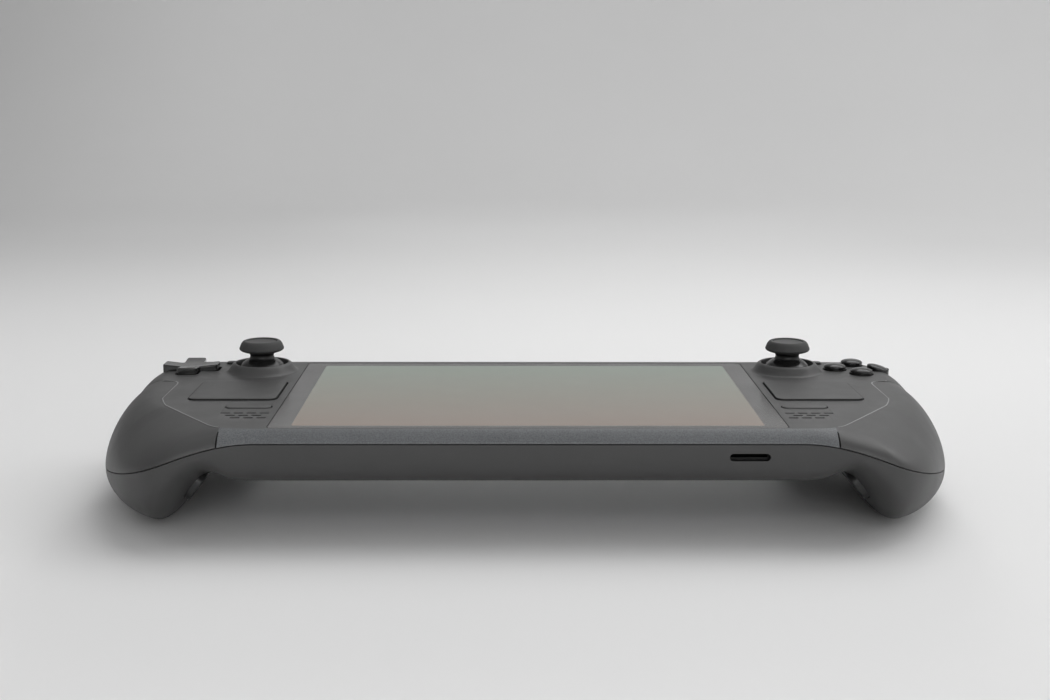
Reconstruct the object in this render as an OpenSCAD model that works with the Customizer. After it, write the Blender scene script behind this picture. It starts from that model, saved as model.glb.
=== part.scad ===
// Handheld game console, lying on its back with the screen up.
// +X is the player's right, +Y points away from the player, +Z is up.
// The grips rest on z = 0, and x = y = 0 is the middle of the overall box.

/* [Body] */
// Overall width
body_w = 298; // [294:1:310]
// Overall depth, from the player's edge to the far edge
body_d = 117; // [114:1:122]
// Height of the flat front face above the table
face_h = 37.5; // [36:0.5:42]
// Thickness of the body between the grips
middle_t = 21; // [20:0.5:24]
// Thickness of the moulded walls
wall_t = 2; // [1.6:0.1:2.4]
// How far the grips reach past the middle, towards the player
grip_reach = 4.3; // [3:0.1:6]
// Height of the front cover's rounded edge between the grips
edge_h = 4.1; // [3.6:0.1:5]
// Width of the front cover's rounded edge between the grips
edge_w = 4.3; // [3.8:0.1:5]
// Drop from the front face to the seam at the widest point
side_seam_h = 27; // [24:0.5:28]
// Gap between the two covers at the seam
seam_gap = 0.24; // [0.1:0.02:0.4]

/* [Screen] */
// Width of the cover glass
glass_w = 165.4; // [160:0.2:168]
// Depth of the cover glass
glass_d = 103; // [98:0.2:104]
// Thickness of the cover glass
glass_t = 1.1; // [0.8:0.1:1.3]
// Thickness of the display panel
panel_t = 2.8; // [2:0.1:3.4]
// Ledge of the front cover under the glass
glass_ledge = 2.4; // [2:0.1:3.5]

/* [Thumb controls] */
// Gap round each button and pad
button_gap = 0.3; // [0.2:0.05:0.5]
// Side of the square trackpads
trackpad_w = 30; // [27:0.2:31]
// Travel of the trackpads
trackpad_travel = 0.25; // [0.1:0.05:0.35]
// Diameter of the face buttons
face_button_d = 8.1; // [7:0.1:8.8]
// Distance of each face button from the middle of its cluster
face_button_spread = 8.2; // [7.6:0.1:8.6]
// Travel of the face buttons
face_button_travel = 1.2; // [0.8:0.1:1.4]
// Length of the cross of the direction pad
dpad_w = 20.3; // [18:0.1:21]
// Width of one arm of the direction pad
dpad_arm = 7.2; // [6:0.1:8]
// Length of the menu keys below the trackpads
menu_key_w = 15; // [12:0.2:16]
// Width of the menu keys
menu_key_d = 4.4; // [3:0.1:5]
// Travel of the small keys
key_travel = 0.5; // [0.3:0.05:0.7]

/* [Thumbsticks] */
// Diameter of the stick's cap
stick_cap_d = 16.4; // [14:0.2:18]
// Height of the stick's top above the front face
stick_h = 11.5; // [10:0.1:14]
// Radius of the stick's dome about its pivot
stick_dome_r = 11.2; // [10.8:0.1:12]
// Depth of the stick's pivot below the front face
stick_pivot_h = 5.4; // [5:0.1:6]
// Radius of the opening in the collar round the stick
collar_r = 9.6; // [9.4:0.1:10]
// Height of the collar
collar_h = 3.3; // [2.5:0.1:3.6]

/* [Shoulder controls] */
// Height of the bumpers
bumper_h = 8.9; // [7:0.1:9.2]
// How far the bumpers stand out from the body
bumper_proud = 1; // [0.6:0.1:1.4]
// Width of the triggers
trigger_w = 35; // [30:0.5:37]
// Radius of the trigger's hinge pin
trigger_pin_r = 1.5; // [1:0.1:1.8]
// Length of the paddles on the backs of the grips
paddle_l = 24; // [18:0.5:26]
// Width of the paddles
paddle_w = 10.5; // [8:0.5:11]
// Travel of the paddles
paddle_travel = 0.8; // [0.4:0.1:1]

/* [Edge ports] */
// Bore radius of the headphone socket
jack_r = 1.75; // [1.7:0.01:1.9]
// Length of the headphone socket's bore
jack_l = 12; // [10:0.5:14]
// Width of the memory card slot
card_slot_w = 12.9; // [11.4:0.1:14]
// Height of the memory card slot
card_slot_h = 2.5; // [1.6:0.1:3]

/* [Inside] */
// Radius of the fan's blades
fan_r = 20; // [16:0.5:21]
// Number of fan blades
fan_blades = 24; // [15:1:31]
// Width of the battery
battery_w = 118; // [90:1:122]
// Depth of the battery
battery_d = 38; // [30:1:39]
// Thickness of the battery
battery_t = 6.2; // [5:0.2:7.4]

/* [Hidden] */
$fn = 48;

// Main levels and places
half_w = body_w / 2;
near_y = -body_d / 2;
far_y = body_d / 2 - bumper_proud;
wall_y = near_y + grip_reach;
inner_z = face_h - wall_t;
back_z = face_h - middle_t;
back_inner_z = back_z + wall_t;
seat_gap = 0.2;
cut_past = 1;

// Shape of the moulded covers
grip_start = half_w - 63;
grip_front = half_w - 35;
far_corner = half_w - 28;
crease_x = half_w - 24;
side_y = 16;
notch_y = 21.2;
far_edge_h = 5.5;
far_edge_w = 1.7;
rim_t = 17;
valley_x = half_w - 47.5;
crest_start = half_w - 45.5;
crest_full = half_w - 27.2;
crest_far_rise = 13;
crest_round = 0.006;
spine_bend = half_w - 51;
spine_squeeze = 0.35;
front_spine_y = 22;
back_spine_y = 8;

// Places of the controls on the right half; the left half mirrors them
glass_y = wall_y + edge_w + seat_gap + glass_d / 2;
pad_x = glass_w / 2 + 3.2 + trackpad_w / 2;
pad_y = far_y - 52.6;
collar_base_r = collar_r + 5.6;
stick_x = pad_x - 2.5;
stick_y = pad_y + trackpad_w / 2 + 4.4 + collar_base_r;
stick_z = face_h - stick_pivot_h;
cross_x = half_w - 23.6;
cross_y = far_y - 15.1;
menu_key_x = glass_w / 2 + 3 + menu_key_w / 2;
menu_key_y = pad_y - trackpad_w / 2 - 10;
small_key_x = cross_x - 13.8;
small_key_y = far_y - 4.9;
speaker_x = glass_w / 2 + 10.3;
speaker_y = menu_key_y - 12.1;

// Direction pad, keys and pads
dpad_gap = 0.55;
dpad_proud = 2.4;
dpad_pivot_h = 1.2;
face_button_proud = 2.3;
side_button_proud = 1.7;
side_button_lean = 14;
face_button_dome = 1.2;
face_button_bottom = 5;
key_proud = 0.3;
small_key_w = 4.6;
small_key_d = 3.2;
small_key_proud = 0.8;
lip_h = 1;
lip_w = 0.8;
motion_gap = 0.3;
key_bottom = wall_t + lip_h + key_travel + 0.6;
trackpad_proud = 0.5;
trackpad_t = 2.4;
tray_gap = trackpad_travel + motion_gap;
tray_t = 1.4;
tray_border = 2.5;
board_t = 1.2;
mat_t = 1.2;
mat_dome_h = 0.6;
mat_top = face_h - face_button_bottom - face_button_travel - motion_gap;
board_z = mat_top - mat_dome_h - mat_t - board_t;
boss_r = 1.9;

// Thumbstick, measured up from its pivot
stick_top = stick_pivot_h + stick_h;
stick_stem_r = 4.35;
dome_t = 1.2;
dome_edge = 76;
shaft_r = 1.4;
gimbal_gap = 0.3;
gimbal_r = 6.2;
gimbal_inner_r = 4.7;
gimbal_h = 3.6;
trunnion_r = 1;
cradle_r = 3.9;
cradle_h = 2.2;
cradle_pin_r = 0.8;
stick_floor = -4.2;
stick_plate = -8;
stick_plate_w = 22;
stick_post = 9.3;

// Bumpers and triggers
seam_clear = 0.45;
bumper_top = face_h - far_edge_h - seam_clear;
bumper_low = bumper_top - bumper_h;
bumper_t = 3;
bumper_x = half_w - 59;
bumper_end = 0.72;
bumper_gap = 0.35;
bumper_room = 3.2;
bumper_pin_r = 1.1;
bumper_block_w = 6;
bumper_block_back = 2.4;
bumper_pin_x = bumper_x + 3;
bumper_pin_y = far_y - 4.2;
trigger_x = half_w - 36;
trigger_y = far_y - 7.5;
trigger_z = bumper_low - 5.8;
trigger_gap = 0.4;
bracket_t = 1.2;
bracket_back = 6.2;
bracket_top = 4.2;

// Paddles on the inner walls of the grips
paddle_x = half_w - 40.5;
paddle_proud = 0.9;
paddle_flange = 0.8;
paddle_flange_z = -1.9;
paddle_y = [3, -26];

// Ports and keys along the far edge
port_z = face_h - far_edge_h - 4.2;
jack_x = -34;
jack_wall = 1.3;
usb_x = 52;
usb_w = 9;
usb_h = 3.3;
volume_x = [-62, -50];
power_x = 66;
edge_key_w = 9;
edge_key_h = 3;
edge_key_proud = 0.6;
card_x = 69.7;
card_z = face_h - 8.35;

// Inside
display_low = face_h - glass_t - panel_t;
stack_top = display_low - 0.4;
battery_x = card_x - (card_slot_w + 1) / 2 - 3.75 - battery_w / 2;
battery_y = wall_y + wall_t + 5.7 + battery_d / 2;
main_board_near = battery_y + battery_d / 2 + 2.5;
main_board_far = far_y - wall_t - 2;
main_board_w = 156;
sink_w = 44;
sink_d = 10;
sink_y = far_y - wall_t - 5 - sink_d;
fan_x = 24.5;
fan_y = sink_y - 5.5 - fan_r;
fan_top = face_h - 10.7;
fan_wall = 1.2;
fan_low = back_inner_z + 0.5;
pipe_t = 3;
chip_x = -26;
chip_y = 10;
chip_w = 16;
chip_h = 1.6;
screw_x = glass_w / 2 + 1.1;
screw_y = [(menu_key_y + menu_key_d / 2 + lip_w + pad_y - trackpad_w / 2 - tray_border) / 2,
    stick_y - 8.5];
screw_head_r = 2;
screw_head_h = 1.4;
screw_r = 1.1;
screw_sink = 0.3;

// Counts of points along one half of the seam, from the near middle to the far middle
count_near = 5;
count_blend = 9;
count_corner = 16;
count_notch = 4;
count_far = 12;
half_count = 2 * (count_near + count_blend + count_corner);
ring_count = 2 * half_count;
far_line_count = half_count / 2 - count_notch - count_far;
notch_share = 0.2;
edge_steps = 7;
inner_steps = 4;
round_steps = 6;
floor_steps = 5;

// Curve helpers
function bezier(k, t) = k[0] * pow(1 - t, 3) + k[1] * 3 * t * pow(1 - t, 2)
    + k[2] * 3 * t * t * (1 - t) + k[3] * pow(t, 3);
function mix(a, b, t) = a + (b - a) * t;
function smooth(a, b, v) = let (t = min(1, max(0, (v - a) / (b - a)))) t * t * (3 - 2 * t);
function flat(p) = [p[0], p[1]];
function unit(v) = v / norm(v);

// The seam on the right half: three curves between two straight runs
seam_blend = [[grip_start, wall_y, face_h - edge_h], [grip_start + 10, wall_y, face_h - edge_h],
    [grip_start + 18, near_y, face_h - 5.8], [grip_front, near_y, face_h - 9.6]];
seam_corner = [seam_blend[3], [half_w - 19, near_y, face_h - 15.7],
    [half_w, side_y - 26, face_h - 24], [half_w, side_y, face_h - side_seam_h]];
seam_far = [seam_corner[3], [half_w, side_y + 24, face_h - side_seam_h],
    [half_w - 5.5, far_y, face_h - 8], [far_corner, far_y, face_h - far_edge_h]];

// The edge of the flat face on the right half, point for point with the seam
face_blend = [[grip_start, wall_y + edge_w], [grip_start + 7, wall_y + edge_w],
    [grip_start + 12.6, wall_y + edge_w + 0.5], [grip_start + 16, wall_y + edge_w + 5.3]];
face_corner = [face_blend[3], [crease_x, side_y - 28.6], [crease_x, side_y - 2]];
face_notch = [face_corner[2], [crease_x, notch_y - 1.2], [crease_x + 1.2, notch_y - 0.2],
    [half_w - 17.6, notch_y]];
face_far = [face_notch[3], [half_w - 15.6, notch_y + 12.8], [half_w - 15.3, far_y - far_edge_w],
    [far_corner, far_y - far_edge_w]];

function near_run(x, last) = [for (i = [0 : count_near - 1]) concat(x * i / count_near, last)];
function along(k, n, t0, t1) = [for (i = [0 : n - 1]) bezier(k, mix(t0, t1, i / n))];
// A straight run to the middle point and another past it, the second starting before the first is done
function soft_corner(k, t) = k[0] + (k[1] - k[0]) * (1 - pow(max(0, 1 - t / 0.65), 1.25))
    + (k[2] - k[1]) * pow(max(0, (t - 0.5) / 0.5), 1.25);
near_half = concat(near_run(grip_start, [wall_y, face_h - edge_h]),
    along(seam_blend, count_blend, 0, 1), along(seam_corner, count_corner, 0, 1));
function far_run(last) = [for (j = [far_line_count : -1 : 0])
    concat(near_half[j][0] * far_corner / grip_front, last)];
seam_half = concat(near_half, along(seam_far, count_notch, 0, notch_share),
    along(seam_far, count_far, notch_share, 1), far_run([far_y, face_h - far_edge_h]));
face_half = concat(near_run(grip_start, [wall_y + edge_w]),
    along(face_blend, count_blend, 0, 1),
    [for (i = [0 : count_corner - 1]) soft_corner(face_corner, i / count_corner)],
    along(face_notch, count_notch, 0, 1), along(face_far, count_far, 0, 1),
    far_run([far_y - far_edge_w]));

// How full each edge is: a low exponent is close to a chamfer, 2 is an ellipse
function edge_power(j) = let (grip = count_near + count_blend, side = half_count / 2)
    mix(1.3, 1.65, smooth(count_near, grip + 2, j)) + 0.42 * smooth(grip + 4, side + 1, j)
    - 0.29 * smooth(side + 1, side + count_notch, j)
    + 0.12 * smooth(side + count_notch + 1, side + count_notch + 5, j);
// Slope of the grips just outside the crease that bounds the flat face
function crease_slope(j) = 0.12 * smooth(count_near, count_near + count_blend, j)
    * (1 - smooth(half_count / 2, half_count / 2 + count_notch + 2, j));
function back_power(x) = mix(2.6, 2.4, smooth(half_w - 55, half_w - 37, x));
function round_share(j, x) = j <= half_count / 2
    ? mix(0.13, 0.7, smooth(half_w - 55, half_w - 37, x))
        - 0.2 * smooth(count_near + count_blend, half_count / 2, j)
    : mix(0.5, 0.14, smooth(half_count / 2, half_count / 2 + count_notch + count_far, j));
function spine_x(j) = let (x = near_half[min(j, half_count - j)][0])
    j == half_count / 2 ? spine_bend + (half_w - spine_bend) * spine_squeeze
    : x < spine_bend ? x : spine_bend + (x - spine_bend) * spine_squeeze;

// Height of the back of the body, with the grips' crests and the dips beside them
function back_height(x, y) = let (
    rise = min(smooth(wall_y, wall_y + 26, y), smooth(far_y, far_y - 18, y)),
    plate = face_h - rim_t - (middle_t - rim_t) * rise,
    dip = 2 * exp(-pow((x - valley_x) / 7, 2)) * (1 - smooth(-20, 10, y)),
    crest = crest_far_rise * smooth(10, 48, y) + crest_round * pow(max(0, x - crest_full), 2))
    mix(plate + dip, crest, smooth(crest_start, crest_full, x));

// One ring of points all round from a function's right half
function whole_ring(half) = concat(half,
    [for (j = [half_count - 1 : -1 : 1]) [-half[j][0], half[j][1], half[j][2]]]);
// The front's spine: points evenly spaced along the grips
function front_spine_x(j) = let (k = min(j, half_count - j)) k < count_near ? grip_start * k / count_near
    : mix(grip_start, spine_x(half_count / 2), (k - count_near) / (half_count / 2 - count_near));
function spine_ring(y, z) = whole_ring([for (j = [0 : half_count]) [front_spine_x(j), y, z]]);
function inset_seam(j) = let (p = flat(seam_half[j]))
    p + unit([spine_x(j), back_spine_y] - p) * wall_t;
function inset_face(j) = let (c = face_half[j])
    c + unit([spine_x(j), front_spine_y] - c) * wall_t;
function edge_ring(outer, angle) = whole_ring([for (j = [0 : half_count]) let (
    power = 2 / edge_power(j),
    top = outer ? face_h : inner_z,
    inside = outer ? face_half[j] : inset_face(j),
    outside = outer ? flat(seam_half[j]) : inset_seam(j),
    low = seam_half[j][2] + seam_gap / 2,
    u = pow(sin(angle), power),
    p = mix(inside, outside, u),
    fall = crease_slope(j) * norm(outside - inside) * u * pow(1 - u, 2))
    [p[0], p[1], mix(low, top, pow(cos(angle), power)) - fall]]);
function floor_ring(outer, row) = whole_ring([for (j = [0 : half_count]) let (
    rim = outer ? flat(seam_half[j]) : inset_seam(j),
    top = seam_half[j][2] - seam_gap / 2,
    share = round_share(j, rim[0]),
    power = 2 / back_power(rim[0]),
    angle = min(1, row / round_steps) * 90,
    f = row <= round_steps ? share * (1 - pow(cos(angle), power))
        : mix(share, 1, (row - round_steps) / floor_steps),
    p = mix(rim, [spine_x(j), back_spine_y], f),
    low = back_height(p[0], p[1]) + (outer ? 0 : wall_t * 1.1))
    [p[0], p[1], mix(top, low, pow(sin(angle), power))]]);

// A closed shell through rings, whose first and last rings close along a spine
function spine_point(i) = i <= half_count ? min(i, half_count - i)
    : let (k = ring_count - i) ring_count - min(k, half_count - k);
module shell(rings) {
    last = len(rings) - 1;
    function id(r, i) = let (k = i % ring_count)
        r * ring_count + (r == 0 || r == last ? spine_point(k) : k);
    polyhedron(points = [for (ring = rings) each ring],
        faces = [for (r = [0 : last - 1]) for (i = [0 : ring_count - 1])
            let (a = id(r, i), b = id(r, i + 1), c = id(r + 1, i + 1), d = id(r + 1, i))
            each [if (a != b) [a, b, c], if (c != d) [a, c, d]]]);
}
module front_shell() {
    shell(concat([spine_ring(front_spine_y, face_h)],
        [for (k = [0 : edge_steps]) edge_ring(true, 90 * k / edge_steps)],
        [for (k = [inner_steps : -1 : 0]) edge_ring(false, 90 * k / inner_steps)],
        [spine_ring(front_spine_y, inner_z)]));
}
function floor_spine(lift) = whole_ring([for (j = [0 : half_count]) let (x = spine_x(j))
    [x, back_spine_y, back_height(x, back_spine_y) + lift]]);
module back_shell() {
    rows = round_steps + floor_steps;
    shell(concat([floor_spine(wall_t * 1.1)],
        [for (k = [rows - 1 : -1 : 0]) floor_ring(false, k)],
        [for (k = [0 : rows - 1]) floor_ring(true, k)],
        [floor_spine(0)]));
}

// Flat outlines
module round_rect(w, d, r) {
    square([w - 2 * r, d], center = true);
    square([w, d - 2 * r], center = true);
    for (x = [-1, 1]) for (y = [-1, 1])
        translate([x * (w / 2 - r), y * (d / 2 - r)]) circle(r);
}
module cross_shape(grow) {
    for (turn = [0, 90]) rotate(turn)
        round_rect(dpad_w + 2 * grow, dpad_arm + 2 * grow, 1 + grow);
}
module slab(low, high) { translate([0, 0, low]) linear_extrude(high - low) children(); }
module at(x, y) { translate([x, y, 0]) children(); }
module both_sides() { children(); mirror([1, 0, 0]) children(); }
module left_side() { mirror([1, 0, 0]) children(); }
// Stands a flat outline up on the far or near wall, with its drawing up along +Z
module on_wall(x, y0, y1, z) {
    translate([x, y1, z]) rotate([90, 0, 0]) linear_extrude(y1 - y0) children();
}
module face_places() {
    for (k = [0 : 3]) at(cross_x + face_button_spread * cos(90 * k),
        cross_y + face_button_spread * sin(90 * k)) rotate(90 * k) children();
}
// Two ears that keep a face button in, beside the line from the middle of its cluster
module button_ears(grow) {
    square([face_button_d * 0.45 + 2 * grow, face_button_d + 2 * (lip_w + grow)], center = true);
}

// Rows of speaker slots: how many, and how far the first lies from the row's start
slot_rows = [[4, 0], [3, 2.1], [3, 0]];
slot_w = 3.2;
slot_d = 1;
slot_pitch = 4.27;
slot_step = 3.3;
module speaker_slots() {
    for (r = [0 : 2]) for (k = [0 : slot_rows[r][0] - 1])
        at(glass_w / 2 + 3.9 + slot_rows[r][1] + slot_pitch * k, speaker_y + slot_step * (1 - r))
            slab(inner_z - cut_past, face_h + cut_past) round_rect(slot_w, slot_d, slot_d / 2 - 0.01);
}

// A strip below the seam round the far corner, as [x, y, height of its top]
function bumper_path(x0, t_end) = concat(
    [for (i = [0 : 3]) [mix(x0, far_corner, i / 4), far_y, bumper_top]],
    [for (i = [0 : 10]) let (seam = bezier(seam_far, mix(1, t_end, i / 10)))
        [seam[0], seam[1], seam[2] - seam_clear]]);
function path_normal(path, i) = let (a = path[max(0, i - 1)], b = path[min(len(path) - 1, i + 1)],
    d = unit(flat(b) - flat(a))) [-d[1], d[0]];
// Its section is given as [out from the path, share of the height]
module outline_strip(path, section, grow_low, grow_high) {
    n = len(section);
    last = len(path) - 1;
    polyhedron(points = [for (i = [0 : last]) let (m = path_normal(path, i), p = path[i])
            for (q = section) [p[0] + m[0] * q[0], p[1] + m[1] * q[0],
                mix(bumper_low - grow_low, p[2] + grow_high, q[1])]],
        faces = concat([[for (k = [0 : n - 1]) k], [for (k = [n - 1 : -1 : 0]) last * n + k]],
            [for (i = [0 : last - 1]) for (k = [0 : n - 1]) let (a = i * n + k,
                b = i * n + (k + 1) % n, c = b + n, d = a + n) each [[a, c, b], [a, d, c]]]));
}
bumper_round = 1.6;
bumper_section = [[-bumper_t, 0], [bumper_proud - bumper_round, 0],
    [bumper_proud - bumper_round * 0.3, 0.06], [bumper_proud, 0.2], [bumper_proud, 0.8],
    [bumper_proud - bumper_round * 0.3, 0.94], [bumper_proud - bumper_round, 1], [-bumper_t, 1]];
module bumper_room_shape() {
    inner = -bumper_t - bumper_room;
    outline_strip(bumper_path(bumper_x - bumper_gap, bumper_end - 0.01),
        [[inner, 0], [bumper_proud + 3, 0], [bumper_proud + 3, 1], [inner, 1]], bumper_gap, 1.5);
    translate([bumper_x - bumper_gap, bumper_pin_y - bumper_block_back - bumper_gap, bumper_low - bumper_gap])
        cube([bumper_block_w + 2 * bumper_gap, far_y - bumper_t - bumper_pin_y + bumper_block_back, bumper_h]);
}

// Front cover: the shell with its collars, bosses and openings
module stick_collar() {
    flank = [[5.6, 0], [4.2, 0.06], [3, 0.18], [2.1, 0.4], [1.5, 0.68], [1.1, 0.86], [0.8, 0.96],
        [0.4, 1], [0, 0.94]];
    at(stick_x, stick_y) rotate_extrude() polygon(concat([[collar_r, inner_z], [collar_base_r, inner_z]],
        [for (q = flank) [collar_r + q[0], face_h + collar_h * q[1]]]));
}
board_boss = [[-11, -13.5], [6, -13.5]];
module front_bosses() {
    for (b = board_boss) at(cross_x + b[0], cross_y + b[1])
        slab(board_z + board_t + seat_gap, inner_z + wall_t / 2) circle(boss_r);
    for (y = screw_y) at(screw_x, y) slab(back_inner_z + 2, inner_z + wall_t / 2) circle(boss_r);
}
// A fine upright groove across the rounded edge, where each grip begins
module strip_groove() {
    w = 0.5;
    translate([grip_start + 11.5, wall_y + edge_w / 2, face_h - edge_h / 2]) rotate([45, 0, 0])
        translate([-w / 2, -edge_w, 0.25]) cube([w, 2 * edge_w, 4]);
}
module front_openings() {
    top = face_h + cut_past;
    lip_low = face_h - face_button_bottom;
    at(0, glass_y) {
        slab(face_h - glass_t, top) round_rect(glass_w + 2 * seat_gap, glass_d + 2 * seat_gap, 2.5);
        slab(inner_z - cut_past, top)
            round_rect(glass_w - 2 * glass_ledge, glass_d - 2 * glass_ledge, 1.5);
    }
    both_sides() {
        at(pad_x, pad_y) slab(inner_z - cut_past, top)
            round_rect(trackpad_w + 2 * button_gap, trackpad_w + 2 * button_gap, 3);
        at(menu_key_x, menu_key_y) slab(inner_z - cut_past, top) round_rect(menu_key_w + 2 * button_gap,
            menu_key_d + 2 * button_gap, menu_key_d / 2);
        at(small_key_x, small_key_y) slab(inner_z - cut_past, top)
            round_rect(small_key_w + 2 * button_gap, small_key_d + 2 * button_gap, 1.5);
        at(stick_x, stick_y) {
            translate([0, 0, stick_z]) sphere(stick_dome_r + 0.4);
            slab(inner_z - cut_past, top + collar_h) circle(collar_r);
        }
        for (y = screw_y) at(screw_x, y) slab(back_inner_z + 1, inner_z - 1) circle(screw_r + 0.05);
        speaker_slots();
        strip_groove();
    }
    left_side() at(cross_x, cross_y) slab(inner_z - 4, top) cross_shape(dpad_gap);
    face_places() {
        slab(lip_low - face_button_travel - motion_gap, top) circle(face_button_d / 2 + button_gap);
        slab(lip_low - face_button_travel - motion_gap, lip_low + lip_h + motion_gap)
            button_ears(motion_gap);
    }
}
module front_cover() {
    color("#4c4d4d") difference() {
        union() {
            front_shell();
            both_sides() {
                stick_collar();
                front_bosses();
            }
        }
        front_openings();
    }
}

// Back cover: the shell with its vents, ports and pockets
vent_slot = 1.8;
vent_pitch = 3.2;
intake_r = 17;
module intake_vents() {
    for (k = [-5 : 5]) let (x = vent_pitch * k, l = 2 * sqrt(intake_r * intake_r - x * x))
        at(fan_x + x, fan_y) slab(back_z - cut_past, back_inner_z + cut_past)
            round_rect(vent_slot, l, vent_slot / 2 - 0.01);
}
module exhaust_vents() {
    for (k = [-6 : 6]) on_wall(fan_x + vent_pitch * k, far_y - wall_t - cut_past,
        far_y + cut_past, port_z) round_rect(vent_slot, 5.6, vent_slot / 2 - 0.01);
}
module far_wall_openings() {
    y0 = far_y - wall_t - cut_past;
    y1 = far_y + cut_past;
    on_wall(jack_x, y0 - 2, y1, port_z) circle(jack_r + jack_wall + seat_gap);
    on_wall(usb_x, y0, y1, port_z)
        round_rect(usb_w + 2 * seat_gap, usb_h + 2 * seat_gap, usb_h / 2);
    for (x = concat(volume_x, power_x)) on_wall(x, y0, y1, port_z)
        round_rect(edge_key_w + 2 * button_gap, edge_key_h + 2 * button_gap, edge_key_h / 2);
    exhaust_vents();
}
module trigger_pocket() {
    w = trigger_w + 2 * (trigger_gap + bracket_t + trigger_gap);
    y0 = trigger_y - bracket_back - trigger_gap;
    translate([trigger_x - w / 2, y0, -cut_past])
        cube([w, far_y + cut_past - y0, bumper_low - bumper_gap / 2 + cut_past]);
}
// Places its child on the sloping inner wall of the right grip, with +Z out of the wall
module on_grip(y) {
    x = paddle_x;
    tilt = atan(back_height(x - 0.5, y) - back_height(x + 0.5, y));
    translate([x, y, back_height(x, y)]) rotate([0, 180 + tilt, 0]) children();
}
module paddle_opening(y) {
    on_grip(y) {
        slab(-6, 5) round_rect(paddle_w + 2 * button_gap, paddle_l + 2 * button_gap, 4);
        grow = 2 * (paddle_flange + motion_gap);
        slab(-6, paddle_flange_z + motion_gap) round_rect(paddle_w + grow, paddle_l + grow, 4);
    }
}
module back_cover() {
    color("#3c3d3d") difference() {
        back_shell();
        intake_vents();
        far_wall_openings();
        on_wall(card_x, wall_y - cut_past, wall_y + wall_t + cut_past, card_z)
            round_rect(card_slot_w, card_slot_h, card_slot_h / 2 - 0.01);
        both_sides() {
            bumper_room_shape();
            trigger_pocket();
            for (y = paddle_y) paddle_opening(y);
            for (y = screw_y) at(screw_x, y) {
                slab(back_z - cut_past, back_inner_z + cut_past) circle(screw_r + seat_gap);
                slab(back_z - cut_past, back_z + screw_sink + screw_head_h) circle(screw_head_r + seat_gap);
            }
        }
    }
}
module back_screws() {
    color("#2a2a2a") both_sides() for (y = screw_y) at(screw_x, y) {
        slab(back_z + screw_sink, back_z + screw_sink + screw_head_h) circle(screw_head_r);
        slab(back_z + screw_sink, back_z + 11) circle(screw_r);
    }
}

// Screen
module cover_glass() {
    color("#7b7d7c") at(0, glass_y) slab(face_h - glass_t, face_h) round_rect(glass_w, glass_d, 2.3);
}
module display_panel() {
    color("#26292b") at(0, glass_y) slab(display_low, face_h - glass_t) round_rect(
        glass_w - 2 * glass_ledge - 2 * seat_gap, glass_d - 2 * glass_ledge - 2 * seat_gap, 1.3);
}

// Direction pad and face buttons
ball_r = 1.3;
ball_room = 0.4;
pivot_z = face_h - dpad_pivot_h;
dpad_low = inner_z - 2.3;
module dpad() {
    dish_r = 60;
    color("#2d2e2e") left_side() at(cross_x, cross_y) difference() {
        union() {
            slab(dpad_low, face_h + dpad_proud) cross_shape(0);
            slab(dpad_low, dpad_low + lip_h) circle(dpad_arm - 2 * motion_gap);
        }
        translate([0, 0, face_h + dpad_proud - 0.9 + dish_r]) sphere(dish_r);
        slab(dpad_low - cut_past, pivot_z) circle(ball_r + ball_room);
        translate([0, 0, pivot_z]) sphere(ball_r + ball_room);
    }
}
module dpad_rocker() {
    color("#1f1f20") left_side() at(cross_x, cross_y) {
        slab(mat_top + 0.4, dpad_low - 0.6) circle(3);
        slab(dpad_low - 0.7, pivot_z) circle(ball_r - 0.2);
        translate([0, 0, pivot_z]) sphere(ball_r);
    }
}
module face_button(k, lean, proud) {
    r = face_button_d / 2;
    low = face_h - face_button_bottom;
    color("#161717") at(cross_x + face_button_spread * cos(90 * k),
        cross_y + face_button_spread * sin(90 * k)) {
        difference() {
            slab(low, face_h + proud + 1) circle(r);
            translate([0, 0, face_h]) rotate([0, lean, 0]) rotate_extrude() polygon([
                [0, proud + 3], [0, proud],
                for (a = [15 : 15 : 75]) [r * sin(a), proud - face_button_dome * (1 - cos(a))],
                [r + 2, proud - 1.3 * face_button_dome], [r + 2, proud + 3]]);
        }
        slab(low, low + lip_h) rotate(90 * k) button_ears(0);
    }
}
module face_button_right() { face_button(0, side_button_lean, side_button_proud); }
module face_button_far() { face_button(1, 0, face_button_proud); }
module face_button_left() { face_button(2, 0, face_button_proud); }
module face_button_near() { face_button(3, 0, face_button_proud); }
module button_mat() {
    low = board_z + board_t;
    at(cross_x, cross_y) slab(low, low + mat_t) round_rect(2 * face_button_spread + 5.6, 16, 6);
    face_places() slab(low, mat_top) circle(3);
}
module left_button_mat() { color("#6b6b6b") left_side() button_mat(); }
module right_button_mat() { color("#6b6b6b") button_mat(); }
module control_board() {
    at(cross_x - 2, cross_y - 4) slab(board_z, board_z + board_t) round_rect(22, 23, 2);
}
module left_control_board() { color("#1e4a33") left_side() control_board(); }
module right_control_board() { color("#1e4a33") control_board(); }

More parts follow.
